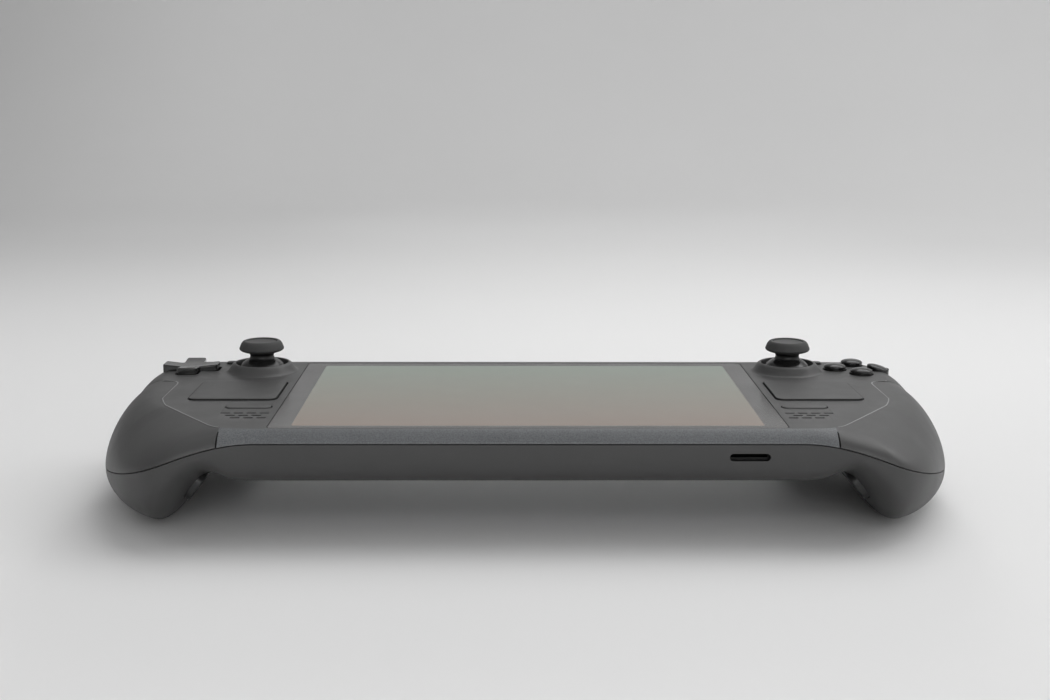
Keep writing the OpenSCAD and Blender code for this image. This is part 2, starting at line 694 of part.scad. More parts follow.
// Small keys and trackpads
module small_key() {
    low = face_h - key_bottom;
    at(small_key_x, small_key_y) {
        slab(low, face_h + small_key_proud) round_rect(small_key_w, small_key_d, 1.3);
        slab(low, low + lip_h / 2) round_rect(small_key_w + lip_w, small_key_d, 1.3);
    }
}
module select_button() { color("#1b1b1c") left_side() small_key(); }
module start_button() { color("#1b1b1c") small_key(); }
module menu_key() {
    low = face_h - key_bottom;
    at(menu_key_x, menu_key_y) {
        slab(low, face_h + key_proud) round_rect(menu_key_w, menu_key_d, menu_key_d / 2 - 0.01);
        slab(low, low + lip_h) round_rect(menu_key_w + 2 * lip_w, menu_key_d + 2 * lip_w, menu_key_d / 2);
    }
}
module left_menu_key() { color("#434444") left_side() menu_key(); }
module right_menu_key() { color("#434444") menu_key(); }
module trackpad() {
    top = face_h + trackpad_proud;
    at(pad_x, pad_y) slab(top - trackpad_t, top) round_rect(trackpad_w, trackpad_w, 2.7);
}
module left_trackpad() { color("#3d3e3e") left_side() trackpad(); }
module right_trackpad() { color("#3d3e3e") trackpad(); }
module trackpad_tray() {
    top = min(face_h + trackpad_proud - trackpad_t - tray_gap, inner_z - seat_gap);
    w = trackpad_w + 2 * tray_border;
    at(pad_x, pad_y) {
        slab(top - tray_t, top) round_rect(w, w, 3);
        slab(top - tray_t - 2.6, top - tray_t) circle(6);
    }
}
module left_trackpad_tray() { color("#8a8c8e") left_side() trackpad_tray(); }
module right_trackpad_tray() { color("#8a8c8e") trackpad_tray(); }

// Thumbsticks: cap, dome and shaft; gimbal ring; cradle; base
module at_stick() { translate([stick_x, stick_y, stick_z]) children(); }
module stick() {
    cap_r = stick_cap_d / 2;
    inner_dome = stick_dome_r - dome_t;
    flare = asin((stick_stem_r + 0.5) / stick_dome_r);
    at_stick() rotate_extrude() polygon(concat(
        [[0, stick_top - 0.9], [cap_r - 3.2, stick_top - 0.6], [cap_r - 2.4, stick_top - 0.15],
            [cap_r - 1.9, stick_top], [cap_r - 1.4, stick_top - 0.2], [cap_r - 0.7, stick_top - 1.2],
            [cap_r, stick_top - 2.8], [cap_r - 0.1, stick_top - 3.2], [cap_r - 0.7, stick_top - 3.7],
            [stick_stem_r + 1, stick_top - 4.4], [stick_stem_r + 0.2, stick_top - 4.8],
            [stick_stem_r, stick_top - 5.6]],
        [for (a = [flare : (dome_edge - flare) / 8 : dome_edge + 0.1])
            [stick_dome_r * sin(a), stick_dome_r * cos(a)]],
        [for (a = [dome_edge : -8 : 20]) [inner_dome * sin(a), inner_dome * cos(a)]],
        [[3, inner_dome * cos(20)], [3, gimbal_h / 2 + 3.7], [shaft_r, gimbal_h / 2 + 3.2],
            [shaft_r, -2.2], [0, -2.2]]));
}
module left_stick() { color("#333435") left_side() stick(); }
module right_stick() { color("#333435") stick(); }
module stick_ring() {
    at_stick() difference() {
        union() {
            slab(-gimbal_h / 2, gimbal_h / 2) circle(gimbal_r);
            rotate([0, 90, 0]) translate([0, 0, -gimbal_r - 2.4])
                cylinder(r = trunnion_r, h = 2 * (gimbal_r + 2.4));
        }
        slab(-gimbal_h, gimbal_h) circle(gimbal_inner_r);
        rotate([90, 0, 0]) translate([0, 0, -gimbal_r - 1])
            cylinder(r = cradle_pin_r + gimbal_gap, h = 2 * gimbal_r + 2);
    }
}
module left_stick_ring() { color("#b9b4a8") left_side() stick_ring(); }
module right_stick_ring() { color("#b9b4a8") stick_ring(); }
module stick_cradle() {
    at_stick() difference() {
        union() {
            slab(-cradle_h / 2, cradle_h / 2) circle(cradle_r);
            rotate([90, 0, 0]) translate([0, 0, -gimbal_r])
                cylinder(r = cradle_pin_r, h = 2 * gimbal_r);
        }
        slab(-cradle_h, cradle_h) circle(shaft_r + gimbal_gap);
    }
}
module left_stick_cradle() { color("#d8d4c8") left_side() stick_cradle(); }
module right_stick_cradle() { color("#d8d4c8") stick_cradle(); }
module stick_base() {
    ear_x = gimbal_r + 0.8;
    ear_t = 1.4;
    post_top = stick_pivot_h - wall_t - seat_gap;
    at_stick() difference() {
        union() {
            slab(stick_plate, stick_plate + 1.2) round_rect(stick_plate_w, stick_plate_w, 2);
            slab(stick_plate, stick_floor) square(2 * ear_x + 2 * ear_t, center = true);
            for (x = [-1, 1]) for (y = [-1, 1]) at(x * stick_post, y * stick_post)
                slab(stick_plate, post_top) circle(1.6);
            for (x = [-1, 1]) at(x * (ear_x + ear_t / 2), 0)
                slab(stick_floor - 1, 2) square([ear_t, 4.4], center = true);
        }
        rotate([0, 90, 0]) translate([0, 0, -ear_x - 2 * ear_t])
            cylinder(r = trunnion_r + gimbal_gap, h = 2 * ear_x + 4 * ear_t);
    }
}
module left_stick_base() { color("#9b9d9e") left_side() stick_base(); }
module right_stick_base() { color("#9b9d9e") stick_base(); }

// Bumpers and triggers
module bumper() {
    difference() {
        union() {
            outline_strip(bumper_path(bumper_x, bumper_end), bumper_section, 0, 0);
            translate([bumper_x, bumper_pin_y - bumper_block_back, bumper_low])
                cube([bumper_block_w, far_y - bumper_t + 0.5 - bumper_pin_y + bumper_block_back, bumper_h]);
        }
        at(bumper_pin_x, bumper_pin_y) slab(bumper_low - 1, bumper_top + 1)
            circle(bumper_pin_r + motion_gap);
    }
}
module left_bumper() { color("#3a3b3b") left_side() bumper(); }
module right_bumper() { color("#3a3b3b") bumper(); }
module bumper_pins() {
    color("silver") both_sides() at(bumper_pin_x, bumper_pin_y)
        slab(bumper_low + 0.5, inner_z - 4 * seat_gap) circle(bumper_pin_r);
}
// Side view of the trigger round its pivot, as [away from the player, up]
trigger_curves = [[[2.5, 3.4], [6.5, 3.4], [8.6, 0.5], [8.3, -3.5]],
    [[8.3, -3.5], [8, -7.5], [6.6, -9], [7.2, -12.2]], [[7.2, -12.2], [7.4, -14.4], [4.6, -14.8],
    [3.4, -12.8]], [[3.4, -12.8], [1.4, -9.5], [1.2, -5.5], [-2.4, -3.2]],
    [[-2.4, -3.2], [-4.4, -2], [-4.4, 3.4], [-0.4, 3.4]]];
module trigger() {
    translate([trigger_x, trigger_y, trigger_z]) difference() {
        intersection() {
            rotate([90, 0, 90]) translate([0, 0, -trigger_w / 2]) linear_extrude(trigger_w)
                polygon([for (k = trigger_curves) each along(k, 6, 0, 1)]);
            at(0, -3.4) slab(-20, 10) round_rect(trigger_w, 24, 6);
        }
        rotate([0, 90, 0]) translate([0, 0, -trigger_w])
            cylinder(r = trigger_pin_r + motion_gap, h = 2 * trigger_w);
    }
}
module left_trigger() { color("#2f3030") left_side() trigger(); }
module right_trigger() { color("#2f3030") trigger(); }
module trigger_bracket() {
    ear_x = trigger_w / 2 + trigger_gap;
    w = 2 * (ear_x + bracket_t);
    translate([trigger_x, trigger_y, trigger_z]) difference() {
        union() {
            translate([-w / 2, -bracket_back, -3.5]) cube([w, bracket_t, bracket_top + 3.5 + bracket_t]);
            translate([-w / 2, -bracket_back, bracket_top]) cube([w, bracket_back + 2, bracket_t]);
            for (x = [-ear_x - bracket_t, ear_x]) translate([x, -bracket_back, -3.5])
                cube([bracket_t, bracket_back + 2.6, bracket_top + 3.5 + bracket_t]);
        }
        rotate([0, 90, 0]) translate([0, 0, -w]) cylinder(r = trigger_pin_r + 0.05, h = 2 * w);
    }
}
module left_trigger_bracket() { color("#55585a") left_side() trigger_bracket(); }
module right_trigger_bracket() { color("#55585a") trigger_bracket(); }
module trigger_pins() {
    l = trigger_w + 2 * (trigger_gap + bracket_t);
    color("silver") both_sides() translate([trigger_x - l / 2, trigger_y, trigger_z])
        rotate([0, 90, 0]) cylinder(r = trigger_pin_r, h = l);
}
module paddle(y) {
    on_grip(y) {
        slab(paddle_flange_z - 0.2 - paddle_travel, paddle_flange_z)
            round_rect(paddle_w + 2 * paddle_flange, paddle_l + 2 * paddle_flange, 4);
        slab(paddle_flange_z - 0.05, paddle_proud - 0.5) round_rect(paddle_w, paddle_l, 3.7);
        slab(paddle_proud - 0.55, paddle_proud) round_rect(paddle_w - 1, paddle_l - 1, 3.2);
    }
}
module left_upper_paddle() { color("#303131") left_side() paddle(paddle_y[0]); }
module left_lower_paddle() { color("#303131") left_side() paddle(paddle_y[1]); }
module right_upper_paddle() { color("#303131") paddle(paddle_y[0]); }
module right_lower_paddle() { color("#303131") paddle(paddle_y[1]); }

// Keys and ports on the edges
module edge_key(x) {
    color("#2c2d2d") {
        on_wall(x, far_y - wall_t - 1.2, far_y + edge_key_proud, port_z)
            round_rect(edge_key_w, edge_key_h, edge_key_h / 2 - 0.01);
        on_wall(x, far_y - wall_t - 1.6, far_y - wall_t - 0.9, port_z)
            round_rect(edge_key_w + 2, edge_key_h, edge_key_h / 2 - 0.01);
    }
}
module volume_down_button() { edge_key(volume_x[0]); }
module volume_up_button() { edge_key(volume_x[1]); }
module power_button() { edge_key(power_x); }
jack_mouth = far_y - wall_t - seat_gap;
module headphone_socket() {
    color("#202020") difference() {
        union() {
            on_wall(jack_x, jack_mouth - jack_l, jack_mouth, port_z) circle(jack_r + jack_wall);
            on_wall(jack_x, jack_mouth - jack_l - 2, jack_mouth - 3, port_z) square([7.4, 6], center = true);
        }
        on_wall(jack_x, jack_mouth - jack_l, jack_mouth + 1, port_z) circle(jack_r);
    }
}
module usb_socket() {
    mouth = far_y - 0.6;
    color("silver") {
        difference() {
            on_wall(usb_x, mouth - 8.6, mouth, port_z) round_rect(usb_w, usb_h, usb_h / 2 - 0.01);
            on_wall(usb_x, mouth - 7, mouth + 1, port_z)
                round_rect(usb_w - 0.7, usb_h - 0.7, usb_h / 2 - 0.4);
        }
        on_wall(usb_x, mouth - 7.5, mouth - 1, port_z) square([usb_w - 2.4, 0.7], center = true);
    }
}
module card_reader() {
    y0 = wall_y + wall_t + 4 * seat_gap;
    color("silver") difference() {
        on_wall(card_x, y0, y0 + 14, card_z) square([card_slot_w + 1, 2.8], center = true);
        on_wall(card_x, y0 - 1, y0 + 13, card_z) square([card_slot_w - 1, 1.2], center = true);
    }
}

// Boards, cooling, battery and speakers
module main_board() {
    low = stack_top - board_t;
    color("#1d4b36") difference() {
        union() {
            translate([-main_board_w / 2, main_board_near, low])
                cube([main_board_w, main_board_far - main_board_near, board_t]);
            translate([chip_x - chip_w / 2, chip_y - chip_w / 2, low - chip_h])
                cube([chip_w, chip_w, chip_h + 0.2]);
            for (x = concat(volume_x, power_x))
                translate([x - 2.5, main_board_far - 3, port_z - 1.5]) cube([5, 3, low - port_z + 1.6]);
            translate([usb_x - usb_w / 2, main_board_far - 6, port_z + usb_h / 2 + seat_gap])
                cube([usb_w, 6, low - port_z - usb_h / 2]);
            translate([jack_x - 3, main_board_far - 10, port_z + jack_r + jack_wall + seat_gap])
                cube([6, 9, low - port_z - jack_r - jack_wall]);
            translate([-73, chip_y - 6, low - 0.8]) cube([5, 24, 1]);
        }
        for (x = [-1, 1]) translate([x * main_board_w / 2 - 9, main_board_near - 1, low - 1])
            cube([18, 12, board_t + 2]);
    }
}
module storage_card() {
    top = stack_top - board_t - 1;
    color("#20503b") translate([-71, chip_y - 5, top - 1.8]) cube([30, 22, 1.8]);
}
sink_low = fan_top - 4.6;
module heat_sink() {
    fin_pitch = 2.2;
    fin_t = 0.6;
    color("#a9acad") {
        translate([fan_x - sink_w / 2, sink_y, fan_top - 0.8]) cube([sink_w, sink_d, 0.8]);
        for (k = [0 : floor((sink_w - fin_t) / fin_pitch)])
            translate([fan_x - sink_w / 2 + fin_pitch * k, sink_y, sink_low])
                cube([fin_t, sink_d, fan_top - sink_low - 0.4]);
    }
}
module heat_pipe() {
    low = fan_top + seat_gap;
    pipe_w = 8;
    bend = 12;
    start = chip_y - 9;
    end = fan_x + sink_w / 2;
    centre = [chip_x + bend, sink_y + sink_d / 2 - bend];
    function arc(r, angles) = [for (a = angles) centre + r * [cos(a), sin(a)]];
    outer = bend + pipe_w / 2;
    inner = bend - pipe_w / 2;
    color("#b5713c") slab(low, low + pipe_t) polygon(concat(
        [[centre[0] - outer, start]], arc(outer, [180 : -9 : 90]),
        [[end, centre[1] + outer], [end, centre[1] + inner]], arc(inner, [90 : 9 : 180]),
        [[centre[0] - inner, start]]));
}
module fan_housing() {
    r = fan_r + 2.5;
    duct_w = fan_r * 2 - 4;
    color("#2b2c2d") translate([fan_x, fan_y, 0]) difference() {
        union() {
            slab(fan_low, fan_top) circle(r);
            translate([-duct_w / 2 - fan_wall, 0, fan_low])
                cube([duct_w + 2 * fan_wall, sink_y - fan_y - seat_gap, fan_top - fan_low]);
        }
        slab(fan_low + fan_wall, fan_top - fan_wall) circle(fan_r + 1);
        translate([-duct_w / 2, 0, fan_low + fan_wall])
            cube([duct_w, sink_y - fan_y + 1, fan_top - fan_low - 2 * fan_wall]);
        difference() {
            slab(fan_low - 1, fan_low + fan_wall + 1) circle(intake_r - 2);
            slab(fan_low - 1, fan_low + fan_wall + 1) circle(4);
            slab(fan_low - 1, fan_low + fan_wall + 1) square([2 * fan_r, 2], center = true);
        }
    }
    color("#2b2c2d") at(fan_x, fan_y) slab(fan_low + fan_wall - 0.1, fan_top - fan_wall - 1.5) circle(1);
}
module fan_rotor() {
    low = fan_low + fan_wall + 0.5;
    high = fan_top - fan_wall - 0.5;
    hub = 8;
    color("#3b3d3f") at(fan_x, fan_y) difference() {
        union() {
            slab(low, high) circle(hub);
            slab(low, low + 0.8) difference() {
                circle(fan_r);
                circle(fan_r - 1.2);
            }
            for (k = [0 : fan_blades - 1]) rotate(360 / fan_blades * k) slab(low, high)
                polygon([[hub - 0.6, -0.4], [fan_r - 0.1, 3.6], [fan_r - 0.1, 4.3], [hub - 0.6, 0.5]]);
        }
        slab(low - 1, fan_top - fan_wall - 1.2) circle(1.2);
    }
}
module battery() {
    color("#27282a") at(battery_x, battery_y) slab(stack_top - battery_t, stack_top)
        round_rect(battery_w, battery_d, 3);
}
module speaker() {
    top = inner_z - seat_gap;
    at(speaker_x + 0.9, speaker_y) difference() {
        slab(top - 5, top) round_rect(17, 11, 2);
        slab(top - 1, top + 1) round_rect(15, 9, 1.5);
    }
}
module left_speaker() { color("#303234") left_side() speaker(); }
module right_speaker() { color("#303234") speaker(); }

front_cover();
back_cover();
cover_glass();
display_panel();
back_screws();
dpad();
dpad_rocker();
face_button_near();
face_button_far();
face_button_left();
face_button_right();
left_button_mat();
right_button_mat();
select_button();
start_button();
left_menu_key();
right_menu_key();
left_trackpad();
right_trackpad();
left_trackpad_tray();
right_trackpad_tray();
left_stick();
left_stick_ring();
left_stick_cradle();
left_stick_base();
right_stick();
right_stick_ring();
right_stick_cradle();
right_stick_base();
left_bumper();
right_bumper();
bumper_pins();
left_trigger();
right_trigger();
left_trigger_bracket();
right_trigger_bracket();
trigger_pins();
left_upper_paddle();
left_lower_paddle();
right_upper_paddle();
right_lower_paddle();
volume_up_button();
volume_down_button();
power_button();
headphone_socket();
usb_socket();
card_reader();
main_board();
heat_sink();
heat_pipe();
fan_housing();
fan_rotor();
battery();
left_speaker();
right_speaker();
left_control_board();
right_control_board();
storage_card();
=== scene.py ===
import math
import bmesh
import bpy
import numpy as np
from mathutils import Matrix, Vector


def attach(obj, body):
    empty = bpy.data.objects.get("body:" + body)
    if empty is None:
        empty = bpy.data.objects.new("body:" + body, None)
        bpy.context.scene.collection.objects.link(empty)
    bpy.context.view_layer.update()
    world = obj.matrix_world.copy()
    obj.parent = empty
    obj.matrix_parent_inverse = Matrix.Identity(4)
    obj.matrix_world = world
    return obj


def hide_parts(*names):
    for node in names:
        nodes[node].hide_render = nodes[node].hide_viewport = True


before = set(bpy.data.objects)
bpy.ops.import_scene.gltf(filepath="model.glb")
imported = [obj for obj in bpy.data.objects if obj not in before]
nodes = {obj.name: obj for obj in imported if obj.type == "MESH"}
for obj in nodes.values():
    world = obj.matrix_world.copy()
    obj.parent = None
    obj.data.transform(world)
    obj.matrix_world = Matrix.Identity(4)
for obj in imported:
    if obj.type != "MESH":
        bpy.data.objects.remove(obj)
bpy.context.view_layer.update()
scene = bpy.context.scene
mm = 0.001
weld, sliver = 2e-7, 1e-7  # metres: nearer points merge, shorter edges vanish
print("frame loaded,", len(nodes), "nodes")

# Camera at the photograph's viewing angle; place in millimetres, turns in degrees
camera = {"place": (-6.9, -496.6, 149.6), "pitch": 11.0, "yaw": 0.73, "roll": 0.18, "lens": 50, "sensor": 36}


def addCamera(c):
    # looks along the pitched and yawed direction, then rolls about it
    pitch, yaw, roll = (math.radians(c[k]) for k in ("pitch", "yaw", "roll"))
    ahead = Vector((math.sin(yaw) * math.cos(pitch), math.cos(yaw) * math.cos(pitch), -math.sin(pitch)))
    level = ahead.cross(Vector((0, 0, 1))).normalized()
    upright = level.cross(ahead)
    right = math.cos(roll) * level + math.sin(roll) * upright
    up = math.cos(roll) * upright - math.sin(roll) * level
    lens = bpy.data.cameras.new("camera")
    lens.lens, lens.sensor_width, lens.clip_start = c["lens"], c["sensor"], 0.01
    cam = bpy.data.objects.new("camera", lens)
    turn = Matrix((right, up, -ahead)).transposed()
    cam.matrix_world = Matrix.Translation(Vector(c["place"]) * mm) @ turn.to_4x4()
    scene.collection.objects.link(cam)
    scene.camera = cam


addCamera(camera)
scene.view_settings.view_transform = "Standard"


# Curves and blends on whole arrays
def bezier(k, t):
    # cubic curve through the four control points in k, at every t
    k = np.asarray(k, float)
    t = np.asarray(t, float)[:, None]
    return k[0] * (1 - t) ** 3 + k[1] * 3 * t * (1 - t) ** 2 + k[2] * 3 * t * t * (1 - t) + k[3] * t ** 3


def smooth(a, b, v):
    # 0 before a, 1 after b, and an S-shaped rise between
    t = np.clip((np.asarray(v, float) - a) / (b - a), 0, 1)
    return t * t * (3 - 2 * t)


def mix(a, b, t):
    return a + (b - a) * t


def unit(v):
    return v / np.linalg.norm(v, axis=-1, keepdims=True)


# Meshes from rings of points
def ringFaces(rows, cols, first):
    r = np.arange(rows - 1)[:, None]
    c = np.arange(cols)[None, :]
    n = (c + 1) % cols
    quads = np.stack([r * cols + c, r * cols + n, (r + 1) * cols + n, (r + 1) * cols + c], -1)
    return quads.reshape(-1, 4) + first


def meshOf(name, lofts, materials=(), zones=None):
    # each loft is rows of closed rings in millimetres; a row that has shrunk to a point or a line
    # closes when its points merge
    first = np.cumsum([0] + [r.shape[0] * r.shape[1] for r in lofts])
    points = np.concatenate([r.reshape(-1, 3) for r in lofts]) * mm
    quads = np.concatenate([ringFaces(r.shape[0], r.shape[1], f) for r, f in zip(lofts, first)])
    mesh = bpy.data.meshes.new(name)
    for material in materials:
        mesh.materials.append(material)
    mesh.vertices.add(len(points))
    mesh.vertices.foreach_set("co", points.astype(np.float32).ravel())
    mesh.loops.add(quads.size)
    mesh.loops.foreach_set("vertex_index", quads.astype(np.int32).ravel())
    mesh.polygons.add(len(quads))
    mesh.polygons.foreach_set("loop_start", np.arange(0, quads.size, 4, dtype=np.int32))
    if zones is not None:
        mesh.polygons.foreach_set("material_index", np.asarray(zones, np.int32).ravel())
    mesh.update(calc_edges=True)
    closed = bmesh.new()
    closed.from_mesh(mesh)
    bmesh.ops.remove_doubles(closed, verts=closed.verts, dist=weld)
    bmesh.ops.dissolve_degenerate(closed, edges=closed.edges, dist=sliver)
    bmesh.ops.recalc_face_normals(closed, faces=closed.faces)
    closed.to_mesh(mesh)
    closed.free()
    return mesh


def zonesOf(rings, rowZones):
    # the same material number all round each row of faces
    return np.repeat(np.asarray(rowZones), rings.shape[1])


def addPiece(mesh, body, stoodFor=(), sharp=38):
    mesh.shade_smooth()
    mesh.set_sharp_from_angle(angle=math.radians(sharp))
    piece = bpy.data.objects.new(mesh.name, mesh)
    scene.collection.objects.link(piece)
    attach(piece, body)
    if stoodFor:
        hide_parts(*stoodFor)
    return piece


def cutMesh(mesh, cutters):
    # takes each cutter's volume out of the mesh
    work = bpy.data.objects.new("work", mesh)
    scene.collection.objects.link(work)
    tools = []
    for cutter in cutters:
        tool = bpy.data.objects.new("tool", cutter)
        scene.collection.objects.link(tool)
        change = work.modifiers.new("opening", "BOOLEAN")
        change.operation, change.solver, change.object = "DIFFERENCE", "EXACT", tool
        change.material_mode = "TRANSFER"
        tools.append(tool)
    graph = bpy.context.evaluated_depsgraph_get()
    done = bpy.data.meshes.new_from_object(work.evaluated_get(graph))
    for spare in [work] + tools:
        bpy.data.objects.remove(spare)
    bpy.data.meshes.remove(mesh)
    return done


# Flat loops as functions of how far they grow outwards
def roundedLoop(corners, radii, steps):
    # a right-angled loop whose corners turn on quarter circles
    corners = np.asarray(corners, float)
    u = unit(np.roll(corners, 1, 0) - corners)[:, None]
    v = unit(np.roll(corners, -1, 0) - corners)[:, None]
    r = np.asarray(radii, float)[:, None, None]
    turn = np.linspace(0, math.pi / 2, steps)[None, :, None]
    loop = corners[:, None] + (u + v) * r - v * r * np.cos(turn) - u * r * np.sin(turn)
    return loop.reshape(-1, 2)


def rectLoop(w, d, r, steps=9):
    def loop(grow):
        x, y = w / 2 + grow, d / 2 + grow
        return roundedLoop([(-x, -y), (x, -y), (x, y), (-x, y)], [max(r + grow, 0.02)] * 4, steps)
    return loop


def circleLoop(r, count=64):
    a = np.linspace(0, 2 * math.pi, count, endpoint=False)
    return lambda grow: (r + grow) * np.stack([np.cos(a), np.sin(a)], -1)


def crossLoop(length, arm, outer, inner, steps=7):
    def loop(grow):
        h, l = arm / 2 + grow, length / 2 + grow
        corners = [(h, -l), (h, -h), (l, -h), (l, h), (h, h), (h, l),
                   (-h, l), (-h, h), (-l, h), (-l, -h), (-h, -h), (-h, -l)]
        return roundedLoop(corners, [outer + grow, inner - grow, outer + grow] * 4, steps)
    return loop


def atHeight(flat, z):
    return np.concatenate([flat, np.broadcast_to(np.asarray(z, float), flat.shape[:1])[:, None]], -1)


def keyRings(loop, low, high, edge, top=None, edgeSteps=7, capSteps=6):
    # a key: straight sides, an edge turned on a quarter circle, and a top that runs in to the middle
    top = top or (lambda p: np.zeros(len(p)))
    turns = np.linspace(0, math.pi / 2, edgeSteps)
    rows = [atHeight(loop(0) * 0, low), atHeight(loop(0), low)]
    for a in turns:
        flat = loop(-edge * (1 - math.cos(a)))
        rows.append(atHeight(flat, high + top(flat) - edge * (1 - math.sin(a))))
    rim = loop(-edge)
    for s in np.linspace(1, 0, capSteps + 1)[1:]:
        rows.append(atHeight(rim * s, high + top(rim * s)))
    return np.array(rows)


def pocketRings(loop, low, high, flare, past=3.0):
    # a cutter: straight sides that flare out on a quarter circle where they meet the face
    rows = [atHeight(loop(0) * 0, low), atHeight(loop(0), low)]
    for a in np.linspace(0, math.pi / 2, 6):
        rows.append(atHeight(loop(flare * (1 - math.cos(a))), high - flare + flare * math.sin(a)))
    rows += [atHeight(loop(flare), high + past), atHeight(loop(flare) * 0, high + past)]
    return np.array(rows)


def turned(profile, count=96, swell=1.0):
    # a profile of radius and height, turned about the upright axis; swell is a factor for each angle
    profile = np.asarray(profile, float)
    a = np.linspace(0, 2 * math.pi, count, endpoint=False)
    r, z = profile[:, 0][:, None] * swell, profile[:, 1][:, None]
    return np.stack([r * np.cos(a), r * np.sin(a), z + 0 * a], -1)


def moved(rings, x, y, z=0.0):
    return rings + np.array([x, y, z])


def mirrored(rings):
    return rings * np.array([-1.0, 1.0, 1.0])


def unchanged(rings):
    return rings


def bothSides(rings):
    return [rings, mirrored(rings)]


sides = {"left": mirrored, "right": unchanged}  # pieces are drawn for the right half


def curveThrough(points, steps):
    # a smooth curve through the points, each stretch a cubic with tangents along its neighbours
    p = np.asarray(points, float)
    ext = np.concatenate([[2 * p[0] - p[1]], p, [2 * p[-1] - p[-2]]])
    a, b, c, d = ext[:-3], ext[1:-2], ext[2:-1], ext[3:]
    t = np.linspace(0, 1, steps, endpoint=False)[None, :, None]
    a, b, c, d = (q[:, None] for q in (a, b, c, d))
    square, cube = 2 * a - 5 * b + 4 * c - d, 3 * b - a - 3 * c + d
    run = 0.5 * (2 * b + (c - a) * t + square * t ** 2 + cube * t ** 3)
    return np.concatenate([run.reshape(-1, p.shape[1]), p[-1:]])


# Finishes
def newMaterial(name):
    material = bpy.data.materials.new(name)
    material.use_nodes = True
    return material, material.node_tree, material.node_tree.nodes["Principled BSDF"]


def addNode(tree, kind, **values):
    node = tree.nodes.new(kind)
    for key, value in values.items():
        node.inputs[key.replace("_", " ")].default_value = value
    return node


def spread(tree, source, low, high):
    # stretches a noise's middle range over low to high
    node = addNode(tree, "ShaderNodeMapRange", From_Min=0.3, From_Max=0.7, To_Min=low, To_Max=high)
    tree.links.new(source, node.inputs["Value"])
    return node.outputs["Result"]


def placeOf(tree):
    return tree.nodes.new("ShaderNodeTexCoord").outputs["Object"]


def addNoise(tree, place, **values):
    node = addNode(tree, "ShaderNodeTexNoise", **values)
    tree.links.new(place, node.inputs["Vector"])
    return node.outputs["Fac"]


def axesOf(tree, place):
    node = tree.nodes.new("ShaderNodeSeparateXYZ")
    tree.links.new(place, node.inputs["Vector"])
    return node.outputs


def blendTones(tree, first, second, weight):
    node = tree.nodes.new("ShaderNodeMix")
    node.data_type = "RGBA"
    node.inputs["A"].default_value = (*first, 1)
    node.inputs["B"].default_value = (*second, 1)
    tree.links.new(weight, node.inputs["Factor"])
    return node.outputs["Result"]


def combine(tree, operation, first, second, clamp=False):
    node = tree.nodes.new("ShaderNodeMath")
    node.operation = operation
    node.use_clamp = clamp
    tree.links.new(first, node.inputs[0])
    tree.links.new(second, node.inputs[1])
    return node.outputs["Value"]


def moulded(name, look):
    # moulded plastic: a fine grain lifts the surface, flecks lighten it, and a slow cloud
    # shifts tone and gloss
    material, tree, shader = newMaterial(name)
    place = placeOf(tree)
    grain = addNoise(tree, place, Scale=1 / (look["grain"] * mm), Detail=2.0, Roughness=0.55)
    cloud = addNoise(tree, place, Scale=1 / (look.get("cloud", 14) * mm), Detail=3.0)
    fleck = look.get("fleck", 0.5)
    flecks, clouds = spread(tree, grain, 0, fleck), spread(tree, cloud, 0, 1 - fleck)
    weight = combine(tree, "ADD", flecks, clouds, clamp=True)
    tree.links.new(blendTones(tree, *look["tones"], weight), shader.inputs["Base Color"])
    tree.links.new(spread(tree, cloud, *look["rough"]), shader.inputs["Roughness"])
    bump = addNode(tree, "ShaderNodeBump", Strength=0.6, Distance=look["depth"] * mm)
    tree.links.new(grain, bump.inputs["Height"])
    tree.links.new(bump.outputs["Normal"], shader.inputs["Normal"])
    shader.inputs["IOR"].default_value = look.get("ior", 1.46)
    shader.inputs["Metallic"].default_value = look.get("metal", 0.0)
    return material


def grey(level, tint=0.0):
    # a grey, warmer with a tint above nought and cooler below
    return (level * (1 + tint), level, level * (1 - tint))


def greys(dark, light):
    return grey(dark), grey(light)


